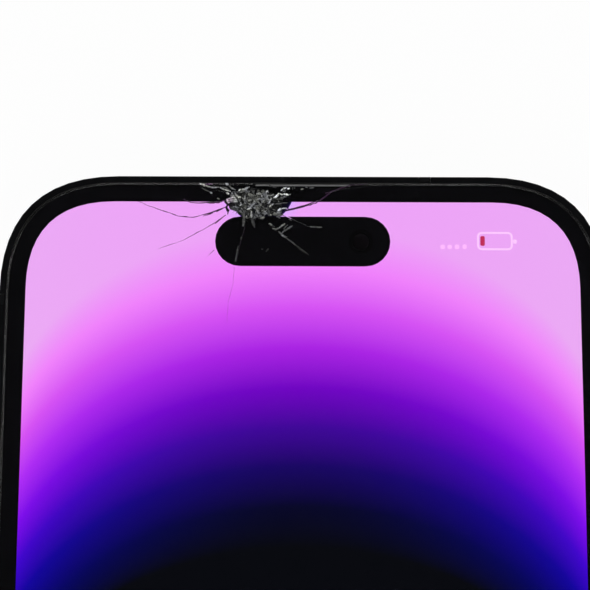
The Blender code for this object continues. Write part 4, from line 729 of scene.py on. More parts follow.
def picture_finish(picture):
    """The lit panel: bands of colour that arch over the middle, and a dead patch under the blow."""
    made = Finish(
        "lit_panel", Base_Color=(0.002, 0.002, 0.003, 1), Specular_IOR_Level=0.0,
        Emission_Strength=picture.strength,
    )
    across, along, _ = made.split()
    offset = made.math("DIVIDE", made.math("SUBTRACT", across, ARCH_CENTRE_X), ARCH_HALF_WIDTH)
    square = made.math("MINIMUM", made.math("MULTIPLY", offset, offset), 1.0)
    drop = made.math("SUBTRACT", 1.0, made.math("SQRT", made.math("SUBTRACT", 1.0, square)))
    raised = made.math("ADD", along, made.math("MULTIPLY", drop, ARCH_HEIGHT))
    depth = made.math("SUBTRACT", LIT_TOP_Y, raised)
    position = made.math("DIVIDE", depth, BAND_DEPTHS[-1] * MM, True)
    stops = [part / BAND_DEPTHS[-1] for part in BAND_DEPTHS]
    middle = [getattr(picture, word) for word in BANDS]
    sides = [getattr(picture, f"side_{word}", getattr(picture, word)) for word in BANDS]
    centre_bands = made.ramp(position, list(zip(stops, middle)))
    side_bands = made.ramp(position, list(zip(stops, sides)))
    bands = made.mix(square, centre_bands, side_bands)
    edge = IMPACT.x + DEAD_PATCH_OFFSET[0], IMPACT.y + DEAD_PATCH_OFFSET[1], PANEL_HIGH.z
    wavy = made.between(made.noise(1.3 * MM, 3.0), -DEAD_PATCH_WAVER, DEAD_PATCH_WAVER)
    outward = made.math("DIVIDE", made.math("ADD", made.distance(edge), wavy), DEAD_PATCH_HAZE)
    rim = DEAD_PATCH_RADIUS / DEAD_PATCH_HAZE
    patch = made.ramp(outward, [(share * rim, shade(*colour)) for share, colour in DEAD_PATCH_COLOURS])
    alive = made.ramp(outward, [*((share * rim, tone) for share, tone in DEAD_PATCH_FADE), (1.0, 1.0)])
    made.feed("Emission Color", made.mix(alive, patch, bands))
    return made.material


def plastic_finish(name, colour, roughness=0.55, shine=0.5):
    """Moulded plastic with a fine spark-eroded grain."""
    made = Finish(name, Specular_IOR_Level=shine)
    grain = made.noise(0.08 * MM, 2.0)
    made.tint(made.noise(1.5 * MM), colour, scaled(colour, 1.5))
    made.roughen(grain, roughness - 0.08, roughness + 0.08)
    made.bump(grain, 0.004 * MM, 0.5)
    return made.material


def coated_glass_finish(name, tint, shine=1.0, transmission=0.0):
    """Dark coated optical glass, whose tint drifts from rim to rim."""
    made = Finish(
        name, IOR=1.6, Roughness=0.03, Transmission_Weight=transmission, Coat_Weight=shine,
        Coat_Roughness=0.02, Specular_IOR_Level=shine / 2,
    )
    made.tint(made.noise(4.0 * MM, 2.0), tint, (tint[2], tint[0], tint[1]))
    return made.material


def flash_finish():
    """A pale frosted lens with fine rings."""
    made = Finish("frosted_flash", Roughness=0.35, IOR=1.5, Transmission_Weight=0.6)
    rings = made.rings(middle_of("flash_lens"), 3.2 * MM)
    made.feed("Base Color", made.ramp(rings, ((0.0, (0.75, 0.7, 0.52)), (1.0, (0.92, 0.9, 0.8)))))
    made.bump(rings, 0.03 * MM, 0.8)
    return made.material


def steel_finish():
    """Pressed steel with a rolled grain along X."""
    made = Finish("pressed_steel", Metallic=1.0)
    drawn = made.node("ShaderNodeMapping", {0: made.place, "Scale": (0.06, 1.0, 1.0)}).outputs[0]
    grain = made.noise(0.08 * MM, 2.0, 0.5, drawn)
    made.feed("Base Color", made.ramp(grain, ((0.2, 0.38), (0.8, 0.62))))
    made.roughen(grain, 0.26, 0.46)
    made.bump(grain, 0.002 * MM, 0.5)
    return made.material


def wrap_finish():
    """The cell's black foil, with soft wrinkles."""
    made = Finish("cell_wrap", Roughness=0.5)
    wrinkles = made.noise(5.0 * MM, 5.0, 0.6)
    made.feed("Base Color", made.ramp(wrinkles, ((0.3, 0.012), (0.7, 0.03))))
    made.bump(wrinkles, 0.15 * MM, 0.5)
    return made.material


def board_finish():
    """Green solder mask over fine square traces."""
    made = Finish("circuit_board", Roughness=0.45)
    traces = made.node("ShaderNodeTexBrick", {
        "Vector": made.place, "Scale": 1 / (2.4 * MM), "Color1": (0.01, 0.07, 0.03, 1),
        "Color2": (0.008, 0.05, 0.022, 1), "Mortar": (0.03, 0.16, 0.06, 1), "Mortar Size": 0.04,
    }).outputs["Color"]
    made.feed("Base Color", traces)
    made.bump(made.noise(0.3 * MM), 0.01 * MM, 0.5)
    return made.material


def copper_finish():
    """The charging coil's turns."""
    made = Finish("wound_copper", Metallic=1.0)
    turns = made.rings(middle_of("charging_coil"), 2.6 * MM)
    made.feed("Base Color", made.ramp(turns, ((0.0, (0.28, 0.1, 0.04)), (0.6, (0.72, 0.34, 0.18)))))
    made.roughen(turns, 0.45, 0.25)
    made.bump(turns, 0.05 * MM, 0.8)
    return made.material


def film_finish():
    """Amber film with traces along it."""
    made = Finish("flex_film", Roughness=0.35)
    lit = made.math("GREATER_THAN", made.math("PINGPONG", made.split()[0], 0.2 * MM), 0.1 * MM)
    made.tint(lit, (0.2, 0.09, 0.02), (0.34, 0.17, 0.04))
    made.bump(lit, 0.01 * MM, 0.5)
    return made.material


def glow_finish(name, colour, strength=1.0, mottle=0.06):
    """A sign that the panel shows: light with the faintest cell structure in it."""
    made = Finish(name, Roughness=0.5, Base_Color=(0.01, 0.01, 0.01, 1), Emission_Strength=strength)
    made.tint(made.noise(0.1 * MM, 1.0), scaled(colour, 1 - mottle), colour, "Emission Color")
    return made.material


def seal_finish():
    """Dark grey sealing rubber, with paler patches along it painted as a broken highlight."""
    made = Finish("edge_seal")
    # Painted highlight: the grey is paler in patches along the seal
    uneven = made.ramp(made.noise(7.0 * MM, 4.0, 0.6), ((0.42, 0.006), (0.6, 0.035)))
    made.feed("Base Color", uneven)
    made.roughen(made.noise(0.5 * MM), 0.45, 0.7)
    return made.material


def gold_finish():
    made = Finish("contact_gold", Metallic=1.0)
    scuffs = made.noise(0.12 * MM, 3.0)
    made.feed("Base Color", made.ramp(scuffs, ((0.3, (0.6, 0.42, 0.14)), (0.7, (0.85, 0.63, 0.25)))))
    made.roughen(scuffs, 0.2, 0.4)
    return made.material


# Building pieces


def new_piece(name, shape, material):
    """Closes a bmesh into an object that rides on the phone's body."""
    mesh = bpy.data.meshes.new(name)
    shape.to_mesh(mesh)
    shape.free()
    return placed(bpy.data.objects.new(name, mesh), material)


def placed(obj, material):
    bpy.context.scene.collection.objects.link(obj)
    obj.data.materials.clear()
    obj.data.materials.append(material)
    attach(obj, "phone")
    return obj


def flat_outline():
    curve = bpy.data.curves.new("outline", "CURVE")
    curve.dimensions = "2D"
    curve.fill_mode = "BOTH"
    curve.resolution_u = CORNER_STEPS
    return curve


def add_rounded(curve, low, high, corner, handle=CIRCLE_HANDLE):
    """A rectangle with rounded corners, as a closed Bezier spline between two corners of its box."""
    corners = ((high[0], low[1]), (high[0], high[1]), (low[0], high[1]), (low[0], low[1]))
    heading = Vector((1, 0, 0))
    spline = curve.splines.new("BEZIER")
    spline.bezier_points.add(7)
    spline.use_cyclic_u = True
    for number, place in enumerate(corners):
        tip = Vector((*place, 0))
        turned = Vector((-heading.y, heading.x, 0))
        start, end = spline.bezier_points[2 * number], spline.bezier_points[2 * number + 1]
        for point in (start, end):
            point.handle_left_type = "FREE"
            point.handle_right_type = "FREE"
        start.co = tip - heading * corner
        start.handle_left = start.co
        start.handle_right = start.co + heading * corner * handle
        end.co = tip + turned * corner
        end.handle_left = end.co - turned * corner * handle
        end.handle_right = end.co
        heading = turned


def mesh_of_curve(curve, low, high):
    """The filled outline as a closed slab from low to high."""
    curve.extrude = (high - low) / 2
    guide = bpy.data.objects.new("guide", curve)
    bpy.context.scene.collection.objects.link(guide)
    graph = bpy.context.evaluated_depsgraph_get()
    mesh = bpy.data.meshes.new_from_object(guide.evaluated_get(graph))
    bpy.data.objects.remove(guide)
    bpy.data.curves.remove(curve)
    mesh.transform(Matrix.Translation((0, 0, (low + high) / 2)))
    return mesh


def slab_piece(name, curve, low, high, material):
    return placed(bpy.data.objects.new(name, mesh_of_curve(curve, low, high)), material)


def glass_shape():
    """A bmesh whose points carry a tone."""
    shape = bmesh.new()
    shape.verts.layers.float.new("tone")
    return shape


def mark_tone(shape, verts, tone):
    """Keeps a tone, 0 to 1 as the eye sees it, on the points of a splinter."""
    layer = shape.verts.layers.float["tone"]
    for vert in verts:
        vert[layer] = tone ** TONE_POWER


def jagged(points, step, wander, randomly):
    """The points joined by short runs that wander to either side, as a crack does."""
    made = [Vector(points[0])]
    for first, second in zip(points, points[1:]):
        first, second = Vector(first), Vector(second)
        run = second - first
        count = max(1, round(run.length / step))
        side = Vector((-run.y, run.x)).normalized()
        for number in range(1, count + 1):
            place = first + run * number / count
            if number < count:
                place += side * randomly.uniform(-wander, wander)
            made.append(place)
    return made


def add_strip(shape, points, widths, thickness, tones, painted_side_shade=(1.0, 1.0, 1.0)):
    """A ridged strip through points on the glass. Painted shade shares out its tone over the left side, the
    ridge and the right side.
    """
    rows = []
    for number, point in enumerate(points):
        before, after = points[max(number - 1, 0)], points[min(number + 1, len(points) - 1)]
        run = (after - before).normalized()
        side = Vector((-run.y, run.x, 0)) * widths[number] / 2
        up = Vector((0, 0, thickness))
        row = [shape.verts.new(place) for place in (point - side, point + up, point + side, point - up)]
        # Painted shade: each point takes its side's share of the tone
        for vert, share in zip(row, (*painted_side_shade, painted_side_shade[2])):
            mark_tone(shape, [vert], tones[number] * share)
        rows.append(row)
    for first, second in zip(rows, rows[1:]):
        for i in range(4):
            j = (i + 1) % 4
            shape.faces.new((first[i], first[j], second[j], second[i]))
    shape.faces.new(rows[0][::-1])
    shape.faces.new(rows[-1])


def add_splinter(shape, pixels, width, tone, randomly):
    """An uneven ridge of glass through pixels of the photograph, narrow at its ends, with one side painted
    darker as shade.
    """
    run = jagged(pixels, SPLINTER_STEP, SPLINTER_WANDER, randomly)
    last = len(run) - 1
    lift = Vector((0, 0, randomly.uniform(*SPLINTER_LIFT) * MM))
    widths, tones = [], []
    for number in range(last + 1):
        fullness = min(1.0, 0.5 + 2.0 * min(number, last - number) / last)
        widths.append(width * PIXEL * fullness * randomly.uniform(*SPLINTER_WIDTHS))
        tones.append(tone * randomly.uniform(*SPLINTER_TONES))
    painted_side_shade = randomly.choice(SPLINTER_PAINTED_SHADE)
    thickness = width * PIXEL * SPLINTER_THICKNESS
    add_strip(shape, [on_glass(pixel) + lift for pixel in run], widths, thickness, tones, painted_side_shade)


def add_blade(shape, start, end, width, tone, roll, tip=0.25):
    """A three-sided splinter from start to end, which narrows towards its end."""
    run = end - start
    made = bmesh.ops.create_cone(
        shape, cap_ends=True, segments=3, radius1=width / 2, radius2=width / 2 * tip, depth=run.length
    )
    turn = run.to_track_quat("Z", "Y").to_matrix().to_4x4()
    place = Matrix.Translation((start + end) / 2) @ turn @ Matrix.Rotation(roll, 4, "Z")
    bmesh.ops.transform(shape, matrix=place, verts=made["verts"])
    mark_tone(shape, made["verts"], tone)


def add_box(shape, size, middle):
    made = bmesh.ops.create_cube(shape, size=1.0)
    place = Matrix.Translation(middle) @ Matrix.Diagonal((*size, 1))
    bmesh.ops.transform(shape, matrix=place, verts=made["verts"])


def bevel(shape, edges, width, segments):
    bmesh.ops.bevel(
        shape, geom=edges, offset=width, segments=segments, affect="EDGES", profile=0.5, material=-1
    )


def make_seal(look):
    """The rubber line between the band's lip and the glass."""
    curve = flat_outline()
    gap_middle = (BAND_HIGH.x - GLASS_HIGH.x - LIP_WIDTH) / 2 + LIP_WIDTH
    for inset in (gap_middle - look.seal_width / 2, gap_middle + look.seal_width / 2):
        low = BAND_LOW.x + inset, BAND_LOW.y + inset
        high = BAND_HIGH.x - inset, BAND_HIGH.y - inset
        add_rounded(curve, low, high, BODY_CORNER - inset, SOFT_HANDLE)
    low, high = GLASS_LOW.z + SEAL_FOOT, GLASS_HIGH.z - SEAL_DEPTH
    slab_piece("glass_seal", curve, low, high, seal_finish())


def make_inserts():
    """The antenna inserts, with outer edges as fine as the band's own."""
    plastic = plastic_finish("flush_plastic", INSERT_COLOUR, 0.5, 0.0)
    for name in sorted(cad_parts):
        if not name.startswith("antenna_insert"):
            continue
        low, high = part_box(name)
        middle, size = (low + high) / 2, high - low
        outward = 0 if size.x < size.y else 1
        shape = bmesh.new()
        add_box(shape, size, middle)
        rims = [
            edge for edge in shape.edges
            if all(abs(vert.co[outward]) > abs(middle[outward]) for vert in edge.verts)
            and abs(edge.verts[0].co.z - edge.verts[1].co.z) < 0.01 * MM
        ]
        bevel(shape, rims, INSERT_EDGE, 3)
        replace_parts(new_piece(f"flush_{name}", shape, plastic), name)


def make_cracks(look, randomly):
    """The cracks' broken faces, as thin ridged strips along the grooves in the glass."""
    shape = glass_shape()
    for tone, width, points in CRACKS.values():
        run = jagged(points, CRACK_STEP, CRACK_WANDER, randomly)
        last = len(run) - 1
        widths = [
            width * MM * (1 - CRACK_NARROWING * i / last) * randomly.uniform(*CRACK_WIDTHS)
            for i in range(last + 1)
        ]
        places = [from_impact(point) for point in run]
        add_strip(shape, places, widths, CRACK_THICKNESS, [tone] * len(run))
    for marks in DARK_MARKS.values():
        for tone, width, pixels in marks:
            run = jagged(pixels, MARK_STEP, MARK_WANDER, randomly)
            places = [on_glass(pixel) + Vector((0, 0, 2 * ON_GLASS)) for pixel in run]
            widths = [width * PIXEL * randomly.uniform(*MARK_WIDTHS) for _ in run]
            add_strip(shape, places, widths, CRACK_THICKNESS, [tone] * len(run))
    # The cracks' purple is the lit picture's glow, painted into their colour
    material = splinter_finish("crack_glass", look.crack_glow_tint, look.crack_glow_tint)
    new_piece("crack_lines", shape, material)


def make_splinters(material, randomly):
    """The larger splinters, where the photograph shows them."""
    shape = glass_shape()
    for strokes in SPLINTERS.values():
        for tone, width, pixels in strokes:
            add_splinter(shape, pixels, width, tone, randomly)
    new_piece("large_splinters", shape, material)


def crush_point(randomly, spread=1.0):
    """A place in the crushed zone, denser towards its middle, in millimetres from the impact."""
    angle = randomly.uniform(0, 2 * math.pi)
    share = spread * randomly.uniform(0, 1) ** CRUSH_CROWDING
    return Vector((
        CRUSH_CENTRE[0] + math.cos(angle) * CRUSH_HALF_LENGTH * share,
        CRUSH_CENTRE[1] + math.sin(angle) * CRUSH_HALF_HEIGHT * share,
    ))


def in_gap(place):
    """Whether a place on the glass lies in one of the gaps that stay black."""
    for first, second in BLACK_GAPS:
        left_top, right_low = on_glass(first), on_glass(second)
        if left_top.x < place.x < right_low.x and right_low.y < place.y < left_top.y:
            return True
    return False


def make_chips(look, material, randomly):
    """Small chips strewn through the crushed zone, most of them pointing away from its middle."""
    shape = glass_shape()
    for _ in range(look.chip_count):
        middle = crush_point(randomly)
        outward = math.atan2(middle.y, middle.x) + randomly.gauss(0, CHIP_TURN)
        reach = Vector((math.cos(outward), math.sin(outward))) * randomly.uniform(*CHIP_LENGTH) / 2
        width, tone = randomly.uniform(*CHIP_WIDTH) * MM, randomly.uniform(*CHIP_TONE)
        lift, roll = randomly.uniform(*CHIP_LIFT) * MM, randomly.uniform(0, math.pi)
        start, end = from_impact(middle - reach, lift), from_impact(middle + reach, lift + CHIP_RISE)
        if not (in_gap(start) or in_gap(end)):
            add_blade(shape, start, end, width, tone, roll)
    new_piece("crushed_chips", shape, material)


def make_flakes(look, material, randomly):
    """The crushed sheet: a ragged disc split by lines into thin flakes, tilted, with a painted highlight on
    their broken rims.
    """
    shape = glass_shape()
    bmesh.ops.create_circle(shape, cap_ends=True, segments=CRUSH_CORNERS, radius=1.0)
    for vert in shape.verts:
        ragged = randomly.uniform(*CRUSH_RAGGEDNESS)
        vert.co = from_impact((
            CRUSH_CENTRE[0] + vert.co.x * CRUSH_HALF_LENGTH * ragged,
            CRUSH_CENTRE[1] + vert.co.y * CRUSH_HALF_HEIGHT * ragged,
        ))
    for _ in range(look.split_count):
        heading = randomly.uniform(0, math.pi)
        bmesh.ops.bisect_plane(
            shape, geom=[*shape.verts, *shape.edges, *shape.faces], dist=0.001 * MM,
            plane_co=from_impact(crush_point(randomly)), plane_no=(math.cos(heading), math.sin(heading), 0),
        )
    lost = [
        face for face in shape.faces
        if randomly.random() < FLAKES_LOST or face.calc_area() < FLAKE_SMALLEST * MM * MM
        or in_gap(face.calc_center_median())
    ]
    bmesh.ops.delete(shape, geom=lost, context="FACES")
    bmesh.ops.split_edges(shape, edges=shape.edges)
    flakes = list(shape.faces)
    bmesh.ops.inset_individual(shape, faces=flakes, thickness=FLAKE_RIM * MM, use_even_offset=False)
    for face in flakes:
        tone = randomly.choice(FLAKE_TONES)
        # Painted highlight: the rim is paler than its flake
        rim_highlight_tone = tone + randomly.uniform(*FLAKE_RIM_PAINTED_HIGHLIGHT)
        middle = face.calc_center_median()
        slope = Vector((randomly.gauss(0, FLAKE_TILT), randomly.gauss(0, FLAKE_TILT), 0))
        lift = randomly.uniform(0.0, FLAKE_LIFT) * MM
        for vert in face.verts:
            outer = [edge.other_vert(vert) for edge in vert.link_edges if edge not in face.edges]
            for place in (vert, *outer):
                place.co.z += lift + slope.dot(place.co - middle)
            mark_tone(shape, [vert], tone)
            mark_tone(shape, outer, rim_highlight_tone)
    pushed = bmesh.ops.extrude_face_region(shape, geom=shape.faces[:], use_keep_orig=True)["geom"]
    for part in pushed:
        if isinstance(part, bmesh.types.BMVert):
            part.co.z -= FLAKE_THICKNESS * MM
    new_piece("crushed_flakes", shape, material)


def make_dust(look, material, randomly):
    """Crumbs and dust, thick over the crater and thin away from it."""
    shape = glass_shape()
    for _ in range(look.dust_count):
        spread = DUST_NEAREST + randomly.expovariate(DUST_THINNING)
        size = randomly.uniform(*DUST_SIZE) * MM
        place = from_impact(crush_point(randomly, min(spread, DUST_SPREAD)), size * DUST_HEIGHT)
        if place.y > GLASS_HIGH.y - 2 * size or in_gap(place):
            continue
        made = bmesh.ops.create_icosphere(shape, subdivisions=1, radius=size)
        long, wide = randomly.uniform(*DUST_WIDTH), randomly.uniform(*DUST_WIDTH)
        squeeze = Matrix.Diagonal((long, wide, DUST_HEIGHT, 1))
        turn = Matrix.Rotation(randomly.uniform(0, math.pi), 4, "Z")
        bmesh.ops.transform(shape, matrix=Matrix.Translation(place) @ turn @ squeeze, verts=made["verts"])
        mark_tone(shape, made["verts"], randomly.uniform(*DUST_TONE))
    new_piece("glass_dust", shape, material)


def sign_box(pixels, grow=0.0):
    """The panel's box between two pixels of the photograph, which are seen through the glass."""
    height = GLASS_HIGH.z - (GLASS_HIGH.z - SIGN_LOW) / GLASS_INDEX
    low, high = (on_glass(pixel, height) for pixel in pixels)
    return (low.x - grow, low.y - grow), (high.x + grow, high.y + grow)


def make_battery_sign(look):
    """The outline of a cell with its knob, and the small charge left in it."""
    pale = glow_finish("pale_sign", look.sign_pale, SIGN_GLOW)
    ring = flat_outline()
    add_rounded(ring, *sign_box(BATTERY_SIGN), BATTERY_CORNER)
    add_rounded(ring, *sign_box(BATTERY_SIGN, -BATTERY_LINE), BATTERY_CORNER - BATTERY_LINE)
    add_rounded(ring, *sign_box(BATTERY_KNOB), KNOB_CORNER)
    slab_piece("battery_outline", ring, SIGN_LOW, SIGN_HIGH, pale)
    charge = flat_outline()
    add_rounded(charge, *sign_box(CHARGE_SIGN), CHARGE_CORNER)
    red = glow_finish("charge_sign", look.charge_red)
    slab_piece("battery_charge", charge, SIGN_LOW, SIGN_HIGH, red)


def make_dots(look):
    """Four faint dots beside the cell sign."""
    curve = flat_outline()
    for dot in DOTS:
        add_rounded(curve, *sign_box(dot), DOT_CORNER)
    faint = glow_finish("dot_sign", look.sign_faint, SIGN_GLOW)
    slab_piece("status_dots", curve, SIGN_LOW, SIGN_HIGH, faint)


def make_speaker_screens(look):
    """Woven screens behind the sound holes in the bottom end."""
    middle_z = (BAND_LOW.z + BAND_HIGH.z) / 2
    columns, rows = round(SCREEN_WIDTH / look.mesh_pitch), round(SCREEN_HEIGHT / look.mesh_pitch)
    steel = steel_finish()
    for word, side in (("left", -1), ("right", 1)):
        shape = bmesh.new()
        bmesh.ops.create_grid(shape, x_segments=columns, y_segments=rows, size=0.5)
        bmesh.ops.scale(shape, vec=(SCREEN_WIDTH, SCREEN_HEIGHT, 1), verts=shape.verts)
        wire = look.mesh_pitch * WIRE_SHARE
        rims = set(bmesh.ops.inset_individual(shape, faces=shape.faces, thickness=wire)["faces"])
        bmesh.ops.delete(shape, geom=[face for face in shape.faces if face not in rims], context="FACES")
        bmesh.ops.solidify(shape, geom=shape.faces, thickness=WIRE_THICKNESS)
        stand = Matrix.Translation((side * SCREEN_X, BAND_LOW.y + SCREEN_DEPTH, middle_z))
        bmesh.ops.transform(
            shape, matrix=stand @ Matrix.Rotation(math.radians(90), 4, "X"), verts=shape.verts
        )
        new_piece(f"speaker_screen_{word}", shape, steel)


def make_port_contacts():
    """Gold contacts on both faces of the port's tongue."""
    low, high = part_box("charging_port")
    middle_z = (low.z + high.z) / 2
    shape = bmesh.new()
    for face in (-1, 1):
        z = middle_z + face * CONTACT_HEIGHT
        for number in range(CONTACTS):
            x = (number - (CONTACTS - 1) / 2) * CONTACT_PITCH
            length = LONG_CONTACT if number in LONG_CONTACTS else SHORT_CONTACT
            size = CONTACT_WIDTH, length, CONTACT_THICKNESS
            add_box(shape, size, (x, low.y + CONTACT_SETBACK + length / 2, z))
    bevel(shape, shape.edges, CONTACT_EDGE, 1)
    new_piece("port_contacts", shape, gold_finish())


def spun(name, profile, centre, material, steps=48):
    """A closed profile of (radius, height) in millimetres, turned round a vertical line."""
    shape = bmesh.new()
    verts = [shape.verts.new((radius * MM, 0, height * MM)) for radius, height in profile]
    edges = [shape.edges.new(pair) for pair in zip(verts, verts[1:] + verts[:1])]
    bmesh.ops.spin(
        shape, geom=verts + edges, cent=(0, 0, 0), axis=(0, 0, 1), angle=2 * math.pi, steps=steps,
        use_merge=True,
    )
    bmesh.ops.remove_doubles(shape, verts=shape.verts, dist=0.001 * MM)
    bmesh.ops.recalc_face_normals(shape, faces=shape.faces)
    bmesh.ops.translate(shape, vec=(centre[0], centre[1], 0), verts=shape.verts)
    for face in shape.faces:
        face.smooth = True
    piece = new_piece(name, shape, material)
    piece.data.set_sharp_from_angle(angle=math.radians(30))
    return piece


def dome(radius, low, crown, steps=8):
    """The profile of a lens: flat behind, and bulging by the crown towards the front, which is down."""
    arc = [
        (radius * math.cos(math.pi / 2 * i / steps), low - crown * math.sin(math.pi / 2 * i / steps))
        for i in range(steps)
    ]
    back = low + ELEMENT_EDGE
    return [*arc, (0.0, low - crown), (0.0, back), (radius, back)]


def make_lens_stacks():
    """Each rear camera's baffle rings and front element, in the space behind its cover glass."""
    baffle = plastic_finish("baffle_black", (0.006, 0.006, 0.007), 0.4)
    rim = metal_finish(bpy.context.scene.phone_look)
    for word, tint in ELEMENT_TINTS.items():
        centre = middle_of(f"lens_cover_{word}")
        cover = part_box(f"lens_cover_{word}")[1].z / MM
        front, back = cover + BAFFLE_FRONT, cover + BAFFLE_BACK
        rings = [(BAFFLE_OUTER, back), (BAFFLE_OUTER, front)]
        for number in range(BAFFLE_STEPS):
            radius, height = BAFFLE_FIRST - BAFFLE_STEP * number, front + BAFFLE_RISE * number
            rings += [(radius, height), (radius - BAFFLE_CHAMFER, height + BAFFLE_RISE)]
        rings.append((BAFFLE_INNER, back))
        spun(f"baffle_{word}", rings, centre, baffle)
        ring = [(radius, cover + height) for radius, height in ELEMENT_RIM]
        spun(f"element_rim_{word}", ring, centre, rim)
        lens = dome(ELEMENT_RADIUS, cover + ELEMENT_FOOT, ELEMENT_CROWN)
        coated = coated_glass_finish(f"element_{word}", tint)
        spun(f"front_element_{word}", lens, centre, coated)


def make_flash_emitter():
    """Two yellow light chips behind the flash lens."""
    middle = middle_of("flash_lens")
    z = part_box("flash_lens")[1].z + FLASH_CHIP_SIZE[2]
    chip = plastic_finish("phosphor", (0.75, 0.6, 0.08), 0.6)
    shape = bmesh.new()
    for side in (-1, 1):
        add_box(shape, FLASH_CHIP_SIZE, (middle.x + side * FLASH_CHIP_SHIFT, middle.y, z))
    bevel(shape, shape.edges, FLASH_CHIP_EDGE, 2)
    new_piece("flash_chips", shape, chip)


def make_front_lens():
    """The selfie camera's small lens behind the island's round opening."""
    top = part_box("front_camera")[1].z / MM
    centre = (FRONT_LENS_X, (ISLAND_LOW.y + ISLAND_HIGH.y) / 2)
    dull = plastic_finish("front_rim", (0.0025, 0.0025, 0.003), 0.6, 0.0)
    rim = [(radius, top + height) for radius, height in FRONT_RIM]
    spun("front_lens_rim", rim, centre, dull)
    turns = [math.pi / 2 * i / FRONT_LENS_STEPS for i in range(1, FRONT_LENS_STEPS)]
    foot, shoulder = top + FRONT_LENS_FOOT, top + FRONT_LENS_SHOULDER
    bulge = [
        (FRONT_LENS_RADIUS * math.cos(turn), shoulder + FRONT_LENS_CROWN * math.sin(turn)) for turn in turns
    ]
    spun(
        "front_lens",
        [(0.0, foot), (FRONT_LENS_RADIUS, foot), *bulge, (0.0, shoulder + FRONT_LENS_CROWN)], centre,
        coated_glass_finish("front_element", (0.004, 0.003, 0.008), 0.04),
    )


# The stage


def resting_plane():
    """The face of the phone's hull that lies under its middle: a point on it and its upward normal."""
    shape = bmesh.new()
    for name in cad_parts:
        low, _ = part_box(name)
        if low.z < BAND_LOW.z + HULL_REACH:
            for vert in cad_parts[name].data.vertices:
                if vert.co.z < BAND_LOW.z + HULL_REACH:
                    shape.verts.new(vert.co)
    bmesh.ops.convex_hull(shape, input=shape.verts)
    shape.normal_update()
    found = None
    for face in shape.faces:
        corners = [vert.co for vert in face.verts]
        sides = [
            (second.x - first.x) * -first.y - (second.y - first.y) * -first.x
            for first, second in zip(corners, corners[1:] + corners[:1])
        ]
        holds_middle = all(side > 0 for side in sides) or all(side < 0 for side in sides)
        if holds_middle and face.normal.z < -HULL_LEVEL:
            found = corners[0].copy(), -face.normal.copy()
    shape.free()
    if found is None:
        raise RuntimeError("no hull face lies under the phone's middle")
    return found


def floor_finish(studio):
    """White for the camera, apart from a soft share of shadow, and plain diffuse white for the light."""
    material = bpy.data.materials.new("white_table")
    material.use_nodes = True
    made = Nodes(material.node_tree)
    made.tree.nodes.remove(made.tree.nodes["Principled BSDF"])
    place = made.node("ShaderNodeTexCoord").outputs["Object"]
    grain = made.node("ShaderNodeTexNoise", {"Vector": place, "Scale": FLOOR_GRAIN}).outputs[0]
    diffuse = made.node("ShaderNodeBsdfDiffuse", {"Color": made.between(grain, *FLOOR_TONES)}).outputs[0]
    glow = made.node("ShaderNodeEmission").outputs[0]
    seen = made.node("ShaderNodeLightPath").outputs["Is Camera Ray"]
    share = made.math("MULTIPLY", seen, studio.floor_glow)
    mixed = made.node("ShaderNodeMixShader", {0: share, 1: diffuse, 2: glow}).outputs[0]
    made.tree.links.new(mixed, made.tree.nodes["Material Output"].inputs["Surface"])
    return material


def make_floor(studio):
    """A round table top in the plane that the phone rests on."""
    point, normal = resting_plane()
    shape = bmesh.new()
    bmesh.ops.create_circle(shape, cap_ends=True, segments=FLOOR_CORNERS, radius=FLOOR_RADIUS)
    turn = normal.to_track_quat("Z", "Y").to_matrix().to_4x4()
    bmesh.ops.transform(shape, matrix=Matrix.Translation(point) @ turn, verts=shape.verts)
    mesh = bpy.data.meshes.new("table_top")
    shape.to_mesh(mesh)
    shape.free()
    floor = bpy.data.objects.new("table_top", mesh)
    bpy.context.scene.collection.objects.link(floor)
    mesh.materials.append(floor_finish(studio))


def make_world(studio):
    """White to the camera; dim overhead and bright low down to mirrors and glass; even to the rest."""
    world = bpy.data.worlds.new("studio")
    bpy.context.scene.world = world
    world.use_nodes = True
    made = Nodes(world.node_tree)
    made.tree.nodes.clear()
    direction = made.node("ShaderNodeTexCoord").outputs["Generated"]
    upward = made.node("ShaderNodeSeparateXYZ", {0: direction}).outputs[2]
    path = made.node("ShaderNodeLightPath").outputs
    even = made.node("ShaderNodeBackground", {"Strength": studio.sky}).outputs[0]
    mirrored = made.node("ShaderNodeBackground", {"Color": made.ramp(upward, MIRRORED_WORLD)}).outputs[0]
    white = made.node("ShaderNodeBackground", {"Color": (1, 1, 1, 1)}).outputs[0]
    sharp = made.math("MAXIMUM", path["Is Glossy Ray"], path["Is Transmission Ray"])
    unseen = made.node("ShaderNodeMixShader", {0: sharp, 1: even, 2: mirrored}).outputs[0]
    both = made.node("ShaderNodeMixShader", {0: path["Is Camera Ray"], 1: unseen, 2: white}).outputs[0]
    made.node("ShaderNodeOutputWorld", {"Surface": both})


def make_lamps(studio):
    """Four soft square lamps, one over each side, aimed at the phone."""
    target = Vector(LAMP_TARGET)
    for word, azimuth in (("right", 0), ("top", 90), ("left", 180), ("bottom", 270)):
        angle = math.radians(azimuth)
        place = target + Vector((math.cos(angle) * LAMP_REACH, math.sin(angle) * LAMP_REACH, LAMP_HEIGHT))
        data = bpy.data.lights.new(f"lamp_{word}", "AREA")
        data.energy = studio.lamp_power
        data.size = studio.lamp_size
        lamp = bpy.data.objects.new(f"lamp_{word}", data)
        lamp.location = place
        lamp.rotation_euler = (target - place).to_track_quat("-Z", "Y").to_euler()
        bpy.context.scene.collection.objects.link(lamp)


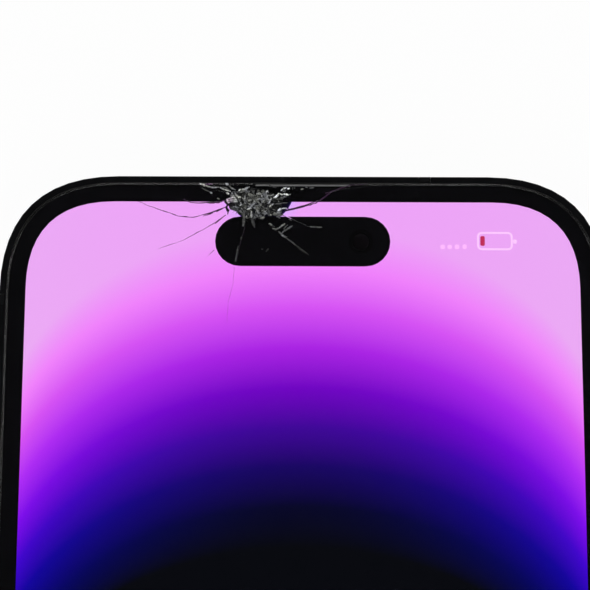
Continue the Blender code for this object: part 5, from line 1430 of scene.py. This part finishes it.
def make_camera():
    data = bpy.data.cameras.new("photo_camera")
    data.sensor_width = SENSOR_WIDTH
    data.lens = SENSOR_WIDTH * FOCAL_PIXELS / PHOTO_SIZE
    data.clip_start = NEAREST_SEEN
    data.clip_end = FURTHEST_SEEN
    camera = bpy.data.objects.new("photo_camera", data)
    camera.matrix_world = Matrix.Translation(CAMERA_PLACE) @ CAMERA_TURN
    bpy.context.scene.collection.objects.link(camera)
    bpy.context.scene.camera = camera


# The add-on's operators, one for each group of like pieces


def give(material, *starts):
    """Puts a material on every CAD node whose name starts with one of the words."""
    for name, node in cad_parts.items():
        if name.startswith(starts):
            node.data.materials.clear()
            node.data.materials.append(material)


class PHONE_OT_finish_parts(Operator):
    """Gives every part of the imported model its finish"""

    bl_idname = "phone.finish_parts"
    bl_label = "Finish the parts"

    def execute(self, context):
        look, picture = context.scene.phone_look, context.scene.phone_picture
        metal = metal_finish(look)
        give(
            metal, "mid_frame", "side_button", "volume_up", "volume_down", "ring_switch", "card_tray",
            "lens_ring",
        )
        give(glass_finish(), "cover_glass")
        give(crushed_finish(look), "glass_shard")
        give(back_finish(look), "rear_glass")
        give(ink_finish(look), "border_mask", "island_mask")
        give(picture_finish(picture), "display_panel")
        black = plastic_finish("black_plastic", (0.012, 0.012, 0.013))
        give(
            black, "display_bezel", "earpiece_speaker", "main_camera", "ultrawide_camera", "telephoto_camera",
            "loudspeaker",
        )
        give(
            plastic_finish("dull_black", (0.0035, 0.0033, 0.0045), 0.6, 0.0), "front_camera",
            "depth_sensor_bar",
        )
        give(plastic_finish("antenna_plastic", INSERT_COLOUR, 0.5, 0.0), "antenna_insert")
        give(coated_glass_finish("lens_cover", (0.9, 0.92, 0.96), transmission=1.0), "lens_cover")
        give(coated_glass_finish("dark_window", (0.012, 0.01, 0.016)), "rangefinder_window")
        give(flash_finish(), "flash_lens")
        give(
            steel_finish(), "display_backplate", "earpiece_mesh", "charging_port", "bottom_screw",
            "side_button_switch", "volume_switches", "card_reader", "board_shield", "haptic_engine",
            "magnet_ring",
        )
        give(wrap_finish(), "battery")
        give(board_finish(), "logic_board")
        give(copper_finish(), "charging_coil")
        give(film_finish(), "port_flex")
        return {"FINISHED"}


class PHONE_OT_add_seal(Operator):
    """Adds the rubber line round the screen glass and the flush antenna inserts in the band"""

    bl_idname = "phone.add_seal"
    bl_label = "Add the seal and the inserts"

    def execute(self, context):
        make_seal(context.scene.phone_look)
        make_inserts()
        return {"FINISHED"}


class PHONE_OT_add_broken_glass(Operator):
    """Adds the cracks, splinters, chips, flakes and dust of the broken screen"""

    bl_idname = "phone.add_broken_glass"
    bl_label = "Add the broken glass"

    def execute(self, context):
        look = context.scene.phone_look
        material = splinter_finish("splinter_glass", look.splinter_tint, look.picture_glow_tint)
        make_cracks(look, random.Random(SEED))
        make_splinters(material, random.Random(SEED + 1))
        make_chips(look, material, random.Random(SEED + 2))
        make_flakes(look, material, random.Random(SEED + 3))
        make_dust(look, material, random.Random(SEED + 4))
        return {"FINISHED"}


class PHONE_OT_add_signs(Operator):
    """Adds the lit signs in the picture's corner"""

    bl_idname = "phone.add_signs"
    bl_label = "Add the lit signs"

    def execute(self, context):
        make_battery_sign(context.scene.phone_look)
        make_dots(context.scene.phone_look)
        return {"FINISHED"}


class PHONE_OT_add_bottom_details(Operator):
    """Adds the speaker screens and the port's contacts"""

    bl_idname = "phone.add_bottom_details"
    bl_label = "Add the bottom end's details"

    def execute(self, context):
        make_speaker_screens(context.scene.phone_look)
        make_port_contacts()
        return {"FINISHED"}


class PHONE_OT_add_optics(Operator):
    """Adds the lenses' elements and baffles, front and rear, and the flash chips"""

    bl_idname = "phone.add_optics"
    bl_label = "Add the optics"

    def execute(self, context):
        make_lens_stacks()
        make_flash_emitter()
        make_front_lens()
        return {"FINISHED"}


class PHONE_OT_set_stage(Operator):
    """Adds the camera, the table top and the light"""

    bl_idname = "phone.set_stage"
    bl_label = "Set the stage"

    def execute(self, context):
        studio = context.scene.studio_look
        make_camera()
        make_floor(studio)
        make_world(studio)
        make_lamps(studio)
        context.scene.view_settings.view_transform = "Standard"
        return {"FINISHED"}


OPERATORS = (
    PHONE_OT_finish_parts,
    PHONE_OT_add_seal,
    PHONE_OT_add_broken_glass,
    PHONE_OT_add_signs,
    PHONE_OT_add_bottom_details,
    PHONE_OT_add_optics,
    PHONE_OT_set_stage,
)


class PHONE_PT_look(Panel):
    """The phone's settings and steps, in the 3D view's sidebar"""

    bl_idname = "PHONE_PT_look"
    bl_label = "Shattered phone"
    bl_space_type = "VIEW_3D"
    bl_region_type = "UI"
    bl_category = "Phone"

    def draw(self, context):
        for settings in (context.scene.phone_look, context.scene.phone_picture, context.scene.studio_look):
            box = self.layout.box()
            for word in settings.__annotations__:
                box.prop(settings, word)
        for operator in OPERATORS:
            self.layout.operator(operator.bl_idname)


CLASSES = (PhonePicture, PhoneLook, StudioLook, *OPERATORS, PHONE_PT_look)


def register():
    for kind in CLASSES:
        bpy.utils.register_class(kind)
    bpy.types.Scene.phone_picture = PointerProperty(type=PhonePicture)
    bpy.types.Scene.phone_look = PointerProperty(type=PhoneLook)
    bpy.types.Scene.studio_look = PointerProperty(type=StudioLook)


def unregister():
    del bpy.types.Scene.studio_look
    del bpy.types.Scene.phone_look
    del bpy.types.Scene.phone_picture
    for kind in reversed(CLASSES):
        bpy.utils.unregister_class(kind)


def corners(box):
    return [list(corner) for corner in box]


def main():
    register()
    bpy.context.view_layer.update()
    bpy.ops.phone.finish_parts()
    bpy.ops.phone.add_seal()
    bpy.ops.phone.add_broken_glass()
    bpy.ops.phone.add_signs()
    bpy.ops.phone.add_bottom_details()
    bpy.ops.phone.add_optics()
    bpy.ops.phone.set_stage()


if __name__ == "__main__":
    main()
